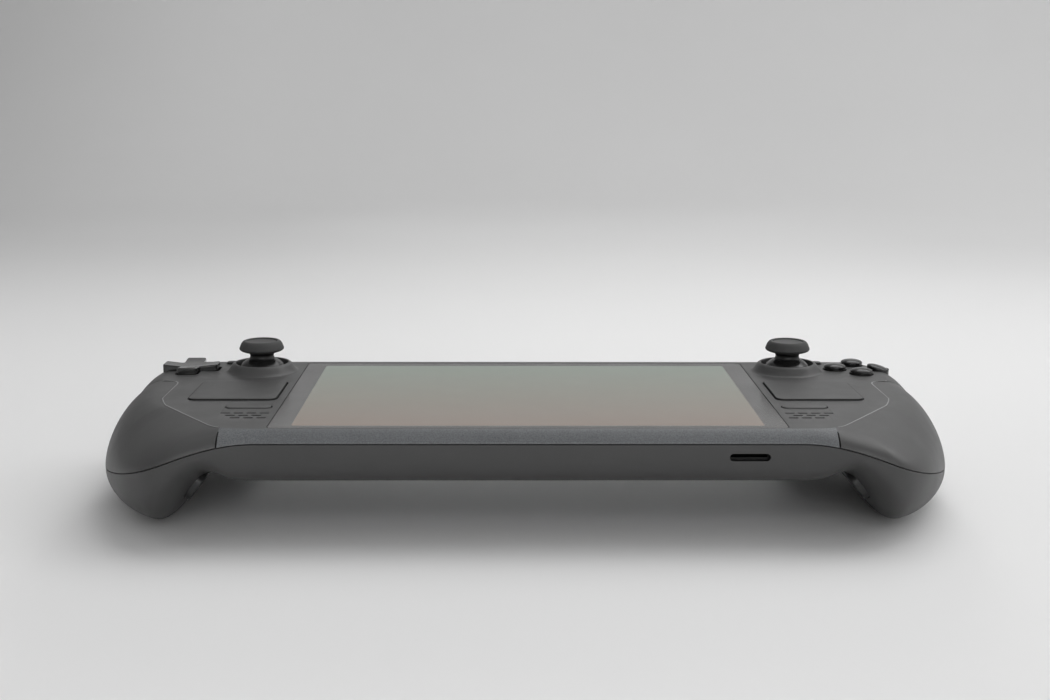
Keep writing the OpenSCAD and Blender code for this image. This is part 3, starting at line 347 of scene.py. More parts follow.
# Tones, roughness, and the grain's size and depth in millimetres
finishes = {
    "shellFront": {"tones": greys(0.046, 0.058), "rough": (0.40, 0.48), "grain": 0.24, "depth": 0.012,
                   "ior": 1.5},
    "edgeStrip": {"tones": (grey(0.076, -0.04), grey(0.165, -0.05)), "rough": (0.40, 0.52), "grain": 0.42,
                  "depth": 0.05, "fleck": 0.85},
    # a lighter grey for the crease's edge rows: a painted highlight along the crease
    "paintedCreaseHighlight": {"tones": greys(0.22, 0.26), "rough": (0.35, 0.45), "grain": 0.24, "depth": 0.01},
    "shellBack": {"tones": greys(0.050, 0.060), "rough": (0.42, 0.5), "grain": 0.22, "depth": 0.022},
    "trackpad": {"tones": greys(0.042, 0.051), "rough": (0.42, 0.50), "grain": 0.12, "depth": 0.008,
                 "ior": 1.52},
    "controlGrey": {"tones": greys(0.036, 0.046), "rough": (0.36, 0.46), "grain": 0.16, "depth": 0.012},
    "crossGloss": {"tones": greys(0.011, 0.015), "rough": (0.06, 0.11), "grain": 0.4, "depth": 0.004,
                   "ior": 1.6},
    "blackGloss": {"tones": greys(0.007, 0.010), "rough": (0.06, 0.11), "grain": 0.5, "depth": 0.004},
    "stickRubber": {"tones": greys(0.040, 0.050), "rough": (0.6, 0.72), "grain": 0.2, "depth": 0.03},
    "stickDisc": {"tones": greys(0.06, 0.072), "rough": (0.5, 0.6), "grain": 0.16, "depth": 0.012},
    "stickStem": {"tones": greys(0.005, 0.008), "rough": (0.35, 0.45), "grain": 0.2, "depth": 0.008},
    "stickDome": {"tones": greys(0.010, 0.015), "rough": (0.18, 0.26), "grain": 0.2, "depth": 0.008},
    "openingShade": {"tones": greys(0.007, 0.010), "rough": (0.6, 0.7), "grain": 0.3, "depth": 0.010},
    "paddleGloss": {"tones": greys(0.022, 0.028), "rough": (0.26, 0.34), "grain": 0.2, "depth": 0.008},
    # near black: painted shade for the card reader seen inside its slot
    "paintedShadeSteel": {"tones": greys(0.006, 0.010), "rough": (0.5, 0.6), "grain": 0.15, "depth": 0.004},
    "blackPlastic": {"tones": greys(0.024, 0.032), "rough": (0.45, 0.55), "grain": 0.2, "depth": 0.015},
    "innerPlastic": {"tones": (grey(0.26, 0.03), grey(0.33, 0.03)), "rough": (0.4, 0.5), "grain": 0.3,
                     "depth": 0.01},
    "silicone": {"tones": greys(0.12, 0.15), "rough": (0.6, 0.7), "grain": 0.4, "depth": 0.02},
    "board": {"tones": ((0.008, 0.045, 0.024), (0.014, 0.07, 0.04)), "rough": (0.3, 0.42), "grain": 0.5,
              "depth": 0.02, "cloud": 5},
    "steel": {"tones": greys(0.5, 0.6), "rough": (0.22, 0.34), "grain": 0.15, "depth": 0.004, "metal": 1.0},
    "copper": {"tones": ((0.55, 0.25, 0.12), (0.66, 0.32, 0.16)), "rough": (0.28, 0.4), "grain": 0.3,
               "depth": 0.006, "metal": 1.0},
    "fins": {"tones": greys(0.55, 0.62), "rough": (0.3, 0.42), "grain": 0.3, "depth": 0.006, "metal": 1.0},
    "battery": {"tones": greys(0.018, 0.03), "rough": (0.35, 0.5), "grain": 0.6, "depth": 0.02},
}
finish = {name: moulded(name, look) for name, look in finishes.items()}


def glassFinish(name, near, far):
    # dark glass whose tint runs from the near edge to the far edge, a painted reflection in the base colour,
    # with a faint cloud in the gloss
    material, tree, shader = newMaterial(name)
    place = placeOf(tree)
    start, end = screen["paintedReflectionRun"]
    run = addNode(tree, "ShaderNodeMapRange", From_Min=start * mm, From_Max=end * mm)
    tree.links.new(axesOf(tree, place)["Y"], run.inputs["Value"])
    tree.links.new(blendTones(tree, near, far, run.outputs["Result"]), shader.inputs["Base Color"])
    cloud = addNoise(tree, place, Scale=60.0, Detail=2.0)
    tree.links.new(spread(tree, cloud, *screen["rough"]), shader.inputs["Roughness"])
    shader.inputs["IOR"].default_value = 1.5
    return material


# the near and far tints of the picture area and the border are a painted reflection: the border paler near,
# the picture warmer near and greener far
screen = {"width": 165.4, "depth": 103.0, "y": 1.8, "low": 36.4, "high": 37.5, "corner": 2.3, "edge": 0.18,
          "room": 0.3, "roomCorner": 2.45, "areaWidth": 150.8, "areaDepth": 94.2, "areaShift": -0.7,
          "areaCorner": 0.8, "near": (0.226, 0.173, 0.138), "far": (0.194, 0.238, 0.194),
          "borderNear": (0.075, 0.073, 0.072), "borderFar": (0.034, 0.033, 0.033),
          "paintedReflectionRun": (-46, 48), "rough": (0.20, 0.26)}
finish["screenArea"] = glassFinish("screenArea", screen["near"], screen["far"])
finish["glassBorder"] = glassFinish("glassBorder", screen["borderNear"], screen["borderFar"])
print("finishes ready:", len(finish))

# The two moulded covers, in millimetres
cover = {"half": 149.0, "near": -58.5, "far": 57.5, "wall": -54.2, "face": 37.5, "thick": 2.0, "gap": 0.24,
         "edgeDrop": 4.1, "edgeRun": 4.3, "sideDrop": 27.0, "farDrop": 5.5, "farRun": 1.7, "rim": 17.0,
         "middle": 21.0, "sideY": 16.0, "notchY": 21.2, "frontSpine": 22.0, "backSpine": 8.0, "lip": 0.14,
         "creaseStep": 0.16, "creaseWidth": 0.42, "creaseFade": (4, 12), "fallSlope": 0.12, "fine": 6,
         "powers": (1.3, 1.65), "powerRises": (0.04, 0.21), "spineBend": 51, "spineEase": 0.35,
         "faceInsets": (8, 3, 1, 0.3), "notchShare": 0.2, "sharp": 30}
underside = {"nearRise": 26, "farRise": 18, "dip": 2, "dipPlace": 47.5, "dipWidth": 7, "dipEnd": (-20, 10),
             "farLift": 13, "liftRun": (10, 48), "bow": 0.006, "crest": 27.2, "plateEnd": 45.5,
             "gripRun": (55, 37), "nearParts": (0.13, 0.7), "sideLoss": 0.2, "farParts": (0.5, 0.14),
             "powers": (2.6, 2.4)}
half = cover["half"]
# running numbers along the half outline where its curves end, and places along x
nearLine, nearEnd, sideEnd, notchEnd, farEnd, lastPoint = 5, 14, 30, 34, 46, 60
gripStart, gripFront, farCorner, creaseX = half - 63, half - 35, half - 28, half - 24
notchX, stripEnd = half - 17.6, gripStart + 11.5
wallY, nearY, farY, faceZ = cover["wall"], cover["near"], cover["far"], cover["face"]
seamBlend = [(gripStart, wallY, faceZ - 4.1), (gripStart + 10, wallY, faceZ - 4.1),
             (gripStart + 18, nearY, faceZ - 5.8), (gripFront, nearY, faceZ - 9.6)]
seamCorner = [seamBlend[3], (half - 19, nearY, faceZ - 15.7), (half, cover["sideY"] - 26, faceZ - 24),
              (half, cover["sideY"], faceZ - cover["sideDrop"])]
seamFar = [seamCorner[3], (half, cover["sideY"] + 24, faceZ - cover["sideDrop"]),
           (half - 5.5, farY, faceZ - 8), (farCorner, farY, faceZ - cover["farDrop"])]
faceStart = wallY + cover["edgeRun"]
faceBlend = [(gripStart, faceStart), (gripStart + 7, faceStart), (gripStart + 12.6, faceStart + 0.5),
             (gripStart + 16, faceStart + 5.3)]
faceCorner = [faceBlend[3], (creaseX, cover["sideY"] - 28.6), (creaseX, cover["sideY"] - 2)]
faceNotch = [faceCorner[2], (creaseX, cover["notchY"] - 1.2), (creaseX + 1.2, cover["notchY"] - 0.2),
             (notchX, cover["notchY"])]
faceFar = [faceNotch[3], (half - 15.6, cover["notchY"] + 12.8), (half - 15.3, farY - cover["farRun"]),
           (farCorner, farY - cover["farRun"])]


def softCorner(k, t, firstEnd=0.65, secondStart=0.5, ease=1.25):
    # a straight run to the corner k[1] and another on to k[2], the second starting before the first is done
    k = np.asarray(k, float)
    t = np.asarray(t, float)[:, None]
    first = 1 - np.clip(1 - t / firstEnd, 0, 1) ** ease
    second = np.clip((t - secondStart) / (1 - secondStart), 0, 1) ** ease
    return k[0] + (k[1] - k[0]) * first + (k[2] - k[1]) * second


def pick(j, parts):
    # joins curve pieces, each given with the running number where it ends
    out = parts[-1][1]
    for end, piece in reversed(parts[:-1]):
        out = np.where((j < end)[:, None], piece, out)
    return out


def share(j, a, b):
    return np.clip((j - a) / (b - a), 0, 1)


def nearX(j):
    line = gripStart * j[:, None] / nearLine
    return pick(j, [(nearLine, line), (nearEnd, bezier(seamBlend, share(j, nearLine, nearEnd))[:, :1]),
                    (lastPoint, bezier(seamCorner, share(j, nearEnd, sideEnd))[:, :1])])[:, 0]


def halfCurves(j):
    # the seam and the flat face's edge on the right half, by running numbers from near to far middle
    notch = cover["notchShare"]
    before, after = share(j, sideEnd, notchEnd), share(j, notchEnd, farEnd)
    farShare = np.where(j < notchEnd, notch * before, mix(notch, 1, after))
    flat = np.ones_like(j)
    nearRun = gripStart * np.minimum(j, nearLine) / nearLine
    farRun = nearX(np.minimum(lastPoint - j, nearEnd)) * farCorner / gripFront
    seam = pick(j, [(nearLine, np.stack([nearRun, wallY * flat, (faceZ - cover["edgeDrop"]) * flat], -1)),
                    (nearEnd, bezier(seamBlend, share(j, nearLine, nearEnd))),
                    (sideEnd, bezier(seamCorner, share(j, nearEnd, sideEnd))),
                    (farEnd, bezier(seamFar, farShare)),
                    (lastPoint, np.stack([farRun, farY * flat, (faceZ - cover["farDrop"]) * flat], -1))])
    face = pick(j, [(nearLine, np.stack([nearRun, faceStart * flat], -1)),
                    (nearEnd, bezier(faceBlend, share(j, nearLine, nearEnd))),
                    (sideEnd, softCorner(faceCorner, share(j, nearEnd, sideEnd))),
                    (notchEnd, bezier(faceNotch, before)),
                    (farEnd, bezier(faceFar, after)),
                    (lastPoint, np.stack([farRun, (farY - cover["farRun"]) * flat], -1))])
    return seam, face


def edgePower(j):
    # the edge's superellipse power: a blend from the near strip's to the grips', plus one rise beside
    # the crease and one past the notch
    crease, notch = cover["powerRises"]
    rise = crease * smooth(nearEnd + 4, sideEnd - 2, j) + notch * smooth(notchEnd - 2, notchEnd + 5, j)
    return mix(*cover["powers"], smooth(nearLine, nearEnd + 2, j)) + rise


def spineX(j):
    # spaced as the near edge is, and closer together past the bend
    bend = half - cover["spineBend"]
    x = nearX(np.minimum(j, lastPoint - j))
    return np.where(x < bend, x, bend + (x - bend) * cover["spineEase"])


def backHeight(x, y):
    # a flat plate that thins towards its near and far edges, a bell-shaped hollow beside each grip,
    # and the grips' crests, which bow up by the square of the distance outwards
    s = underside
    x = np.abs(x)
    rise = np.minimum(smooth(wallY, wallY + s["nearRise"], y), 1 - smooth(farY - s["farRise"], farY, y))
    plate = faceZ - cover["rim"] - (cover["middle"] - cover["rim"]) * rise
    bell = np.exp(-((x - half + s["dipPlace"]) / s["dipWidth"]) ** 2)
    dip = s["dip"] * bell * (1 - smooth(*s["dipEnd"], y))
    crest = s["farLift"] * smooth(*s["liftRun"], y) + s["bow"] * np.maximum(0, x - half + s["crest"]) ** 2
    return mix(plate + dip, crest, smooth(half - s["plateEnd"], half - s["crest"], x))


def wholeRing(flat, z):
    # the right half at its heights, then the left half back to the start
    ring = np.column_stack([flat, z])
    return np.concatenate([ring, mirrored(ring[-2:0:-1])])


running = np.linspace(0, lastPoint, lastPoint * cover["fine"] + 1)
seamHalf, faceHalf = halfCurves(running)
spineHalf = spineX(running)
frontSpine = np.stack([spineHalf, np.full_like(spineHalf, cover["frontSpine"])], -1)
backSpine = np.stack([spineHalf, np.full_like(spineHalf, cover["backSpine"])], -1)
creaseStart = smooth(nearLine + 4.5, nearEnd - 1.5, running)
creaseMask = creaseStart * (1 - smooth(notchEnd - 0.5, notchEnd + 1, running))
# along the crease: 0 where the grip falls away at once, 1 where a level strip runs on to the notch's depth
levelling = smooth(nearEnd + 6, sideEnd, running)
edgeWidth = np.maximum(seamHalf[:, 0] - faceHalf[:, 0], 1)
levelRun = levelling * np.clip(notchX - faceHalf[:, 0], 0, None) / edgeWidth
levelRun[running > notchEnd] = 0


def faceInset(inset):
    return faceHalf + unit(frontSpine - faceHalf) * inset


def seamInset(inset):
    return seamHalf[:, :2] + unit(backSpine - seamHalf[:, :2]) * inset


def frontRow(angle, inset, low):
    # one row of the rounded edge: a level run past the crease, then a superellipse down to the seam
    inside, outside = faceInset(inset), seamInset(inset)
    power = edgePower(running)
    u = np.sin(angle) ** (2 / power)
    past = np.clip((u - levelRun) / (1 - levelRun), 0, 1)
    run = np.linalg.norm(outside - inside, axis=-1)
    slope = cover["fallSlope"] * smooth(nearLine, nearEnd, running) * (1 - levelling)
    fall = slope * run * u * (1 - u) ** 2
    fade = 1 - smooth(*cover["creaseFade"], run * u)
    step = cover["creaseStep"] * creaseMask * smooth(0, cover["creaseWidth"], run * u) * fade
    high = (1 - past ** power) ** (1 / power)
    z = mix(seamHalf[:, 2] + low, faceZ - inset, high) - fall - step * (inset == 0)
    return wholeRing(mix(inside, outside, u[:, None]), z)


def frontRings():
    # from the face's spine out over the edge to the seam, round the rim and back inside
    level = np.full_like(spineHalf, faceZ)
    rows = [wholeRing(frontSpine, level)]
    rows += [wholeRing(faceInset(inset), level) for inset in cover["faceInsets"]]
    turns = np.radians(np.concatenate([[0, 0.35, 0.7, 1.1, 1.6, 2.2, 3, 4, 5.3], np.linspace(7, 90, 22)]))
    seamLow = cover["gap"] / 2
    rows += [frontRow(a, 0, seamLow + cover["lip"]) for a in turns]
    rows.append(frontRow(math.pi / 2, cover["lip"], seamLow))
    rows += [frontRow(a, cover["thick"], seamLow) for a in np.radians(np.linspace(90, 0, 7))]
    rows.append(wholeRing(frontSpine, level - cover["thick"]))
    return np.array(rows), len(turns)


def backRow(row, inset, lift):
    # one row of the back: the rounded side down to the floor, then across to the spine
    rim = seamInset(inset)
    top = seamHalf[:, 2] - cover["gap"] / 2 - (cover["lip"] if inset == 0 else 0)
    s = underside
    onto = smooth(half - s["gripRun"][0], half - s["gripRun"][1], rim[:, 0])
    near = mix(*s["nearParts"], onto) - s["sideLoss"] * smooth(nearEnd, sideEnd, running)
    part = np.where(running <= sideEnd, near, mix(*s["farParts"], smooth(sideEnd, farEnd, running)))
    power = 2 / mix(*s["powers"], onto)
    angle = min(1, row) * math.pi / 2
    f = part * (1 - math.cos(angle) ** power) if row <= 1 else mix(part, 1, row - 1)
    p = mix(rim, backSpine, f[:, None])
    z = mix(top, backHeight(p[:, 0], p[:, 1]) + lift, math.sin(angle) ** power)
    return wholeRing(p, z)


def backRings():
    rows = np.concatenate([np.linspace(0, 1, 19), np.linspace(1, 2, 13)[1:]])
    rim = wholeRing(seamInset(cover["lip"]), seamHalf[:, 2] - cover["gap"] / 2)
    inner = [backRow(r, cover["thick"], 1.1 * cover["thick"]) for r in np.linspace(2, 0, 15)]
    return np.array(inner + [rim] + [backRow(r, 0, 0) for r in rows])


# Places of the controls on the right half, in millimetres; the left half mirrors them
place = {"pad": (100.9, 4.9), "stick": (98.4, 39.5, 32.1), "cross": (125.4, 42.4), "menu": (93.2, -20.1),
         "small": (111.6, 52.6), "speaker": (86.6, -32.2), "fan": (24.5, 15.0), "portZ": 27.8}
control = {"pad": (30.0, 30.0), "menu": (15.0, 4.4), "small": (4.6, 3.2), "button": 4.05, "reach": 8.2,
           "cross": 20.3, "arm": 7.2, "crossGap": 0.55, "dish": 60, "dishDrop": 0.9, "gap": 0.3,
           "flare": 0.22, "tightFlare": 0.05, "cutDepth": 7, "collar": 9.6, "collarHeight": 3.3,
           "collarRoom": 0.4}
openings = {"pad": (3.0, 0.22), "menu": (2.2, 0.15), "small": (1.5, 0.15)}  # corner and flare
slots = {"rows": ((4, 0.0), (3, 2.1), (3, 0.0)), "size": (3.2, 1.0), "pitch": 4.27, "step": 3.3}
buttonTurns = {"right": 0, "far": 90, "left": 180, "near": 270}


def buttonPlace(turn):
    x, y = place["cross"]
    a = math.radians(turn)
    return x + control["reach"] * math.cos(a), y + control["reach"] * math.sin(a)


def frontCutters():
    low, flare, tight = faceZ - control["cutDepth"], control["flare"], control["tightFlare"]
    gap, spare = control["gap"], screen["room"]
    glass = rectLoop(screen["width"] + spare, screen["depth"] + spare, screen["roomCorner"])
    tools = [moved(pocketRings(glass, low, faceZ, tight), 0, screen["y"])]
    for key, (corner, turn) in openings.items():
        wide, deep = control[key]
        hole = pocketRings(rectLoop(wide + 2 * gap, deep + 2 * gap, corner), low, faceZ, turn)
        tools += bothSides(moved(hole, *place[key]))
    well = pocketRings(circleLoop(control["collar"] + control["collarRoom"]), low, faceZ, tight)
    tools += bothSides(moved(well, *place["stick"][:2]))
    room = 2 * control["crossGap"]
    cross = crossLoop(control["cross"] + room, control["arm"] + room, 1.5, 0.5)
    tools.append(mirrored(moved(pocketRings(cross, low, faceZ, flare), *place["cross"])))
    hole = pocketRings(circleLoop(control["button"] + gap), low, faceZ, flare)
    tools += [moved(hole, *buttonPlace(turn)) for turn in buttonTurns.values()]
    slot = pocketRings(rectLoop(*slots["size"], 0.49), low, faceZ, 0.08)
    for row, (count, shift) in enumerate(slots["rows"]):
        for k in range(count):
            x = place["speaker"][0] + shift + slots["pitch"] * k
            tools += bothSides(moved(slot, x, place["speaker"][1] + slots["step"] * (1 - row)))
    return meshOf("frontTools", tools, [finish["openingShade"]])


groove = {"width": 0.5, "length": 9.0, "floor": 0.22, "top": 4}


def grooveCutters():
    # a fine groove across the rounded strip: a thin slab leaning back at 45 degrees
    loop = rectLoop(groove["width"], groove["length"], 0.05, 3)(0)
    rows = ((0, "floor"), (1, "floor"), (1, "top"), (0, "top"))
    bar = np.array([atHeight(loop * size, groove[end]) for size, end in rows])
    c = math.sqrt(0.5)
    lean = bar @ np.array([[1, 0, 0], [0, c, c], [0, -c, c]])
    bar = moved(lean, stripEnd, wallY + cover["edgeRun"] / 2, faceZ - cover["edgeDrop"] / 2)
    return meshOf("grooveTools", bothSides(bar), [finish["openingShade"]])


def buildFront():
    rings, edgeRows = frontRings()
    zones = np.zeros(rings[:-1].shape[:2], int)
    middle = (rings[:-1, :, 0] + np.roll(rings[:-1, :, 0], -1, 1)) / 2
    strip = np.abs(middle) < stripEnd
    near = rings[:-1, :, 1] < faceStart + 3
    rowNumber = np.arange(len(rings) - 1)[:, None]
    edgeStart = 1 + len(cover["faceInsets"])  # the first row of the rounded edge
    onEdge = (rowNumber >= edgeStart) & (rowNumber < edgeStart + edgeRows)
    zones[onEdge & strip & near] = 1
    # the crease rows take the third finish, a lighter grey: a painted highlight along the crease's edge
    mask = np.concatenate([creaseMask, creaseMask[-2:0:-1]])
    onCrease = (rowNumber >= edgeStart - 1) & (rowNumber < edgeStart + 3)
    zones[onCrease & (mask > 0.5)[None, :]] = 2
    looks = [finish["shellFront"], finish["edgeStrip"], finish["paintedCreaseHighlight"]]
    mesh = cutMesh(meshOf("front_shell", [rings], looks, zones), [frontCutters(), grooveCutters()])
    mesh.name = "front_cover_shell"
    addPiece(mesh, "body", ["front_cover"], cover["sharp"])


buildFront()
print("front cover built")

# Shoulder controls: the bumpers follow the far edge below the seam
bumper = {"top": 31.55, "low": 22.65, "start": 90.0, "end": 0.72, "proud": 1.0, "thick": 3.0, "round": 1.6,
          "clear": 0.45, "gap": 0.35, "room": 2.7}


def bumperPath(start, end):
    # straight along the far edge, then round the corner just under the seam
    t = np.linspace(0, 1, 9)[:-1]
    line = np.column_stack([mix(start, farCorner, t), farY + 0 * t, bumper["top"] + 0 * t])
    corner = bezier(seamFar, np.linspace(1, end, 31)) - np.array([0, 0, bumper["clear"]])
    return np.concatenate([line, corner])


def stripRings(path, section, growLow, growHigh):
    # a section of distance out and share of the height, carried along the path
    run = np.gradient(path[:, :2], axis=0)
    out = unit(np.stack([-run[:, 1], run[:, 0]], -1))
    flat = path[:, None, :2] + out[:, None] * section[None, :, :1]
    high = path[:, None, 2] + growHigh
    z = mix(bumper["low"] - growLow, high, section[None, :, 1])
    return np.concatenate([flat, z[..., None]], -1)


def closedEnds(rings):
    # adds a row shrunk to its middle before the first ring and after the last
    first, last = (np.broadcast_to(r.mean(1, keepdims=True), r.shape) for r in (rings[:1], rings[-1:]))
    return np.concatenate([first, rings, last])


def boxRings(low, high):
    loop = np.array([(low[0], low[1]), (high[0], low[1]), (high[0], high[1]), (low[0], high[1])], float)
    mid = loop.mean(0, keepdims=True) + 0 * loop
    rows = ((mid, low), (loop, low), (loop, high), (mid, high))
    return np.array([atHeight(flat, end[2]) for flat, end in rows])


def wallRings(loop, x, z, y0, y1, flare):
    # a cutter through the far or near wall: a flat loop stood up, flaring at y1
    rings = pocketRings(loop, 0, abs(y1 - y0), flare, 2.0)
    side = 1 if y1 > y0 else -1
    return np.stack([x + rings[..., 0], y0 + side * rings[..., 2], z + rings[..., 1]], -1)


grip = {"x": 108.5, "y": (3.0, -26.0), "paddle": (10.5, 24.0), "proud": 0.9, "names": ("upper", "lower"),
        "crown": 0.25}
ports = {"jack": (-34.0, 3.25), "usb": (52.0, 9.4, 3.7), "slot": (69.7, 29.15, 12.9, 2.5),
         "keySize": (9.0, 3.0),
         "keys": {"volume_down_button": -62.0, "volume_up_button": -50.0, "power_button": 66.0}}
vents = {"width": 1.8, "pitch": 3.2, "radius": 17.0, "rows": 5, "exhaust": 6, "height": 5.6, "corner": 0.89,
         "cut": (-21.5, -16.5)}
screws = {"x": 83.8, "y": (-14.85, 31.0), "radius": 2.0, "floor": 16.5, "sink": 0.3, "room": 2.2,
          "pocket": (14, 18.2)}
triggerRoom = {"x": 113.0, "reach": 19.5, "near": 43.4, "top": 22.475}


def onGrip(rings, y):
    # sets a key on the sloping inner wall of the right grip, its top facing out of the wall
    x = grip["x"]
    near, far = backHeight(np.array([x - 0.5, x + 0.5]), np.array([y, y]))
    turn = math.pi + math.atan(near - far)
    c, s = math.cos(turn), math.sin(turn)
    base = backHeight(np.array([x]), np.array([y]))[0]
    return moved(rings @ np.array([[c, 0, -s], [0, 1, 0], [s, 0, c]]), x, y, base)


def backCutters():
    tools, room = [], 2 * control["gap"]
    for k in range(-vents["rows"], vents["rows"] + 1):
        x = vents["pitch"] * k
        long = rectLoop(vents["width"], 2 * math.sqrt(vents["radius"] ** 2 - x * x), vents["corner"])
        slot = pocketRings(long, *vents["cut"], 0.15, 1.5) * np.array([1, 1, -1])
        tools.append(moved(slot, place["fan"][0] + x, place["fan"][1]))
    outlet = rectLoop(vents["width"], vents["height"], vents["corner"])
    y0 = farY - 3
    for k in range(-vents["exhaust"], vents["exhaust"] + 1):
        tools.append(wallRings(outlet, place["fan"][0] + vents["pitch"] * k, place["portZ"], y0, farY, 0.12))
    (jackX, jackRadius), (usbX, *usbSize) = ports["jack"], ports["usb"]
    tools.append(wallRings(circleLoop(jackRadius), jackX, place["portZ"], y0 - 2, farY, 0.2))
    tools.append(wallRings(rectLoop(*usbSize, 1.65), usbX, place["portZ"], y0, farY, 0.2))
    keyHole = rectLoop(ports["keySize"][0] + room, ports["keySize"][1] + room, 1.5)
    tools += [wallRings(keyHole, x, place["portZ"], y0, farY, 0.15) for x in ports["keys"].values()]
    x, z, w, h = ports["slot"]
    tools.append(wallRings(rectLoop(w, h, h / 2 - 0.01), x, z, wallY + 3, wallY - 0.05, 0.12))
    hole = rectLoop(grip["paddle"][0] + room, grip["paddle"][1] + room, 4.0)
    for y in grip["y"]:
        tools += bothSides(onGrip(pocketRings(hole, -6, 0, 0.02, 5), y))
    low, high = screws["pocket"]
    rim = circleLoop(screws["room"])(0)
    head = np.array([atHeight(rim * size, z) for size, z in ((0, low), (1, low), (1, high), (0, high))])
    for y in screws["y"]:
        tools += bothSides(moved(head, screws["x"], y))
    x, reach = triggerRoom["x"], triggerRoom["reach"]
    roomLow, roomHigh = (x - reach, triggerRoom["near"], -1), (x + reach, farY + 1, triggerRoom["top"])
    tools += bothSides(boxRings(roomLow, roomHigh))
    return meshOf("backTools", tools, [finish["openingShade"]])


def bumperRooms():
    inner, outer = -bumper["thick"] - bumper["room"], bumper["proud"] + 3
    section = np.array([(inner, 0), (outer, 0), (outer, 1), (inner, 1)], float)
    path = bumperPath(bumper["start"] - bumper["gap"], bumper["end"] - 0.01)
    rings = closedEnds(stripRings(path, section, bumper["gap"], 1.5))
    return meshOf("bumperRooms", bothSides(rings), [finish["openingShade"]])


def buildBack():
    mesh = meshOf("back_shell", [backRings()], [finish["shellBack"]])
    mesh = cutMesh(mesh, [backCutters(), bumperRooms()])
    mesh.name = "back_cover_shell"
    addPiece(mesh, "body", ["back_cover"], cover["sharp"])


buildBack()
print("back cover built")


# Screen glass: a plate with a softened edge, and the picture area set into its border
def buildGlass():
    s = screen
    edge = rectLoop(s["width"], s["depth"], s["corner"])
    area = rectLoop(s["areaWidth"], s["areaDepth"], s["areaCorner"])(0) + np.array([0, s["areaShift"]])
    rows = [atHeight(edge(0) * 0, s["low"]), atHeight(edge(0), s["low"])]
    for a in np.linspace(0, math.pi / 2, 5):
        flat = edge(-s["edge"] * (1 - math.cos(a)))
        rows.append(atHeight(flat, s["high"] - s["edge"] * (1 - math.sin(a))))
    rows += [atHeight(area, s["high"]), atHeight(area * 0, s["high"])]
    rings = moved(np.array(rows), 0, s["y"])
    zones = zonesOf(rings, [0] * (len(rows) - 2) + [1])
    mesh = meshOf("screen_glass", [rings], [finish["glassBorder"], finish["screenArea"]], zones)
    addPiece(mesh, "body", ["cover_glass"])


buildGlass()
print("screen built")

# Thumbsticks and the collars they stand in
stick = {"top": 16.9, "cap": 8.2, "stem": 4.35, "dome": 11.2, "domeEdge": 76, "domeThick": 1.2}


def stickRings():
    # a dished disc, a rounded rim, a waisted stem, and a dome that is part of a sphere about the pivot
    top, cap, stem = stick["top"], stick["cap"], stick["stem"]
    disc = [(0, top - 0.75), (cap - 5, top - 0.68), (cap - 3.1, top - 0.5), (cap - 2.75, top - 0.42)]
    rim = [(cap - 2.7, top - 0.5), (cap - 2.55, top - 0.12), (cap - 1.9, top), (cap - 1.25, top - 0.3),
           (cap - 0.6, top - 1.2), (cap - 0.08, top - 2.5), (cap, top - 2.9), (cap - 0.15, top - 3.3),
           (cap - 0.8, top - 3.75), (stem + 1.4, top - 4.3)]
    waist = [(stem + 0.9, top - 4.45), (stem + 0.3, top - 4.75), (stem, top - 5.6), (stem + 0.15, top - 6.3)]
    flare = math.asin((stem + 0.5) / stick["dome"])
    edge = math.radians(stick["domeEdge"])
    out = np.linspace(flare, edge, 26)
    back = np.linspace(edge, 0.3, 10)
    inner = stick["dome"] - stick["domeThick"]
    parts = [curveThrough(disc, 4), curveThrough(rim, 5), curveThrough(waist, 5),
             stick["dome"] * np.stack([np.sin(out), np.cos(out)], -1),
             inner * np.stack([np.sin(back), np.cos(back)], -1), [(0, inner * math.cos(0.3))]]
    zoneOf = [0, 1, 2, 3, 3, 3]
    rings = turned(np.concatenate(parts))
    rowZones = np.concatenate([[z] * len(p) for z, p in zip(zoneOf, parts)])[:-1]
    return rings, zonesOf(rings, rowZones)


def collarRings():
    # a ring with a rounded lip and a flank that flares out to the face
    r, h = control["collar"], control["collarHeight"]
    flank = [(r + 4.0, 0.001), (r + 3.5, 0.04), (r + 2.95, 0.16), (r + 2.4, 0.37), (r + 1.9, 0.61),
             (r + 1.45, 0.81), (r + 1.05, 0.92), (r + 0.72, 0.975), (r + 0.4, 1.0), (r + 0.12, 0.97),
             (r, 0.88)]
    outside = curveThrough(flank, 5) * np.array([1, h]) + np.array([0, faceZ])
    inside = [(r, faceZ), (r, faceZ - 2), (r + 1.5, faceZ - 2), (r + 4.0, faceZ - 0.4), outside[0]]
    return turned(np.concatenate([outside, inside]), 128)


stickRing, stickZones = stickRings()
for side, flipped in sides.items():
    rings = flipped(moved(stickRing, *place["stick"]))
    collar = flipped(moved(collarRings(), *place["stick"][:2]))
    looks = [finish["stickDisc"], finish["stickRubber"], finish["stickStem"], finish["stickDome"]]
    mesh = meshOf(side + "_thumbstick", [rings], looks, stickZones)
    addPiece(mesh, side + "_stick", [side + "_stick"])
    addPiece(meshOf(side + "_stick_collar", [collar], [finish["shellFront"]]), "body")
print("thumbsticks built")


# Direction pad, face buttons, keys and trackpads
def dishedTop(p):
    # a shallow part of a large sphere, lowest in the middle
    r = control["dish"]
    return r - np.sqrt(r ** 2 - (p ** 2).sum(-1)) - control["dishDrop"]


cross = crossLoop(control["cross"], control["arm"], 1.0, 0.9)
rings = moved(keyRings(cross, faceZ - 4, faceZ + 2.4, 0.5, dishedTop, capSteps=12), *place["cross"])
mesh = meshOf("direction_pad", [mirrored(rings)], [finish["crossGloss"]])
addPiece(mesh, "dpad", ["dpad"])

button = {"proud": 2.3, "dome": 1.2, "low": -4.0, "lean": {"right": (14.0, 1.7)}}


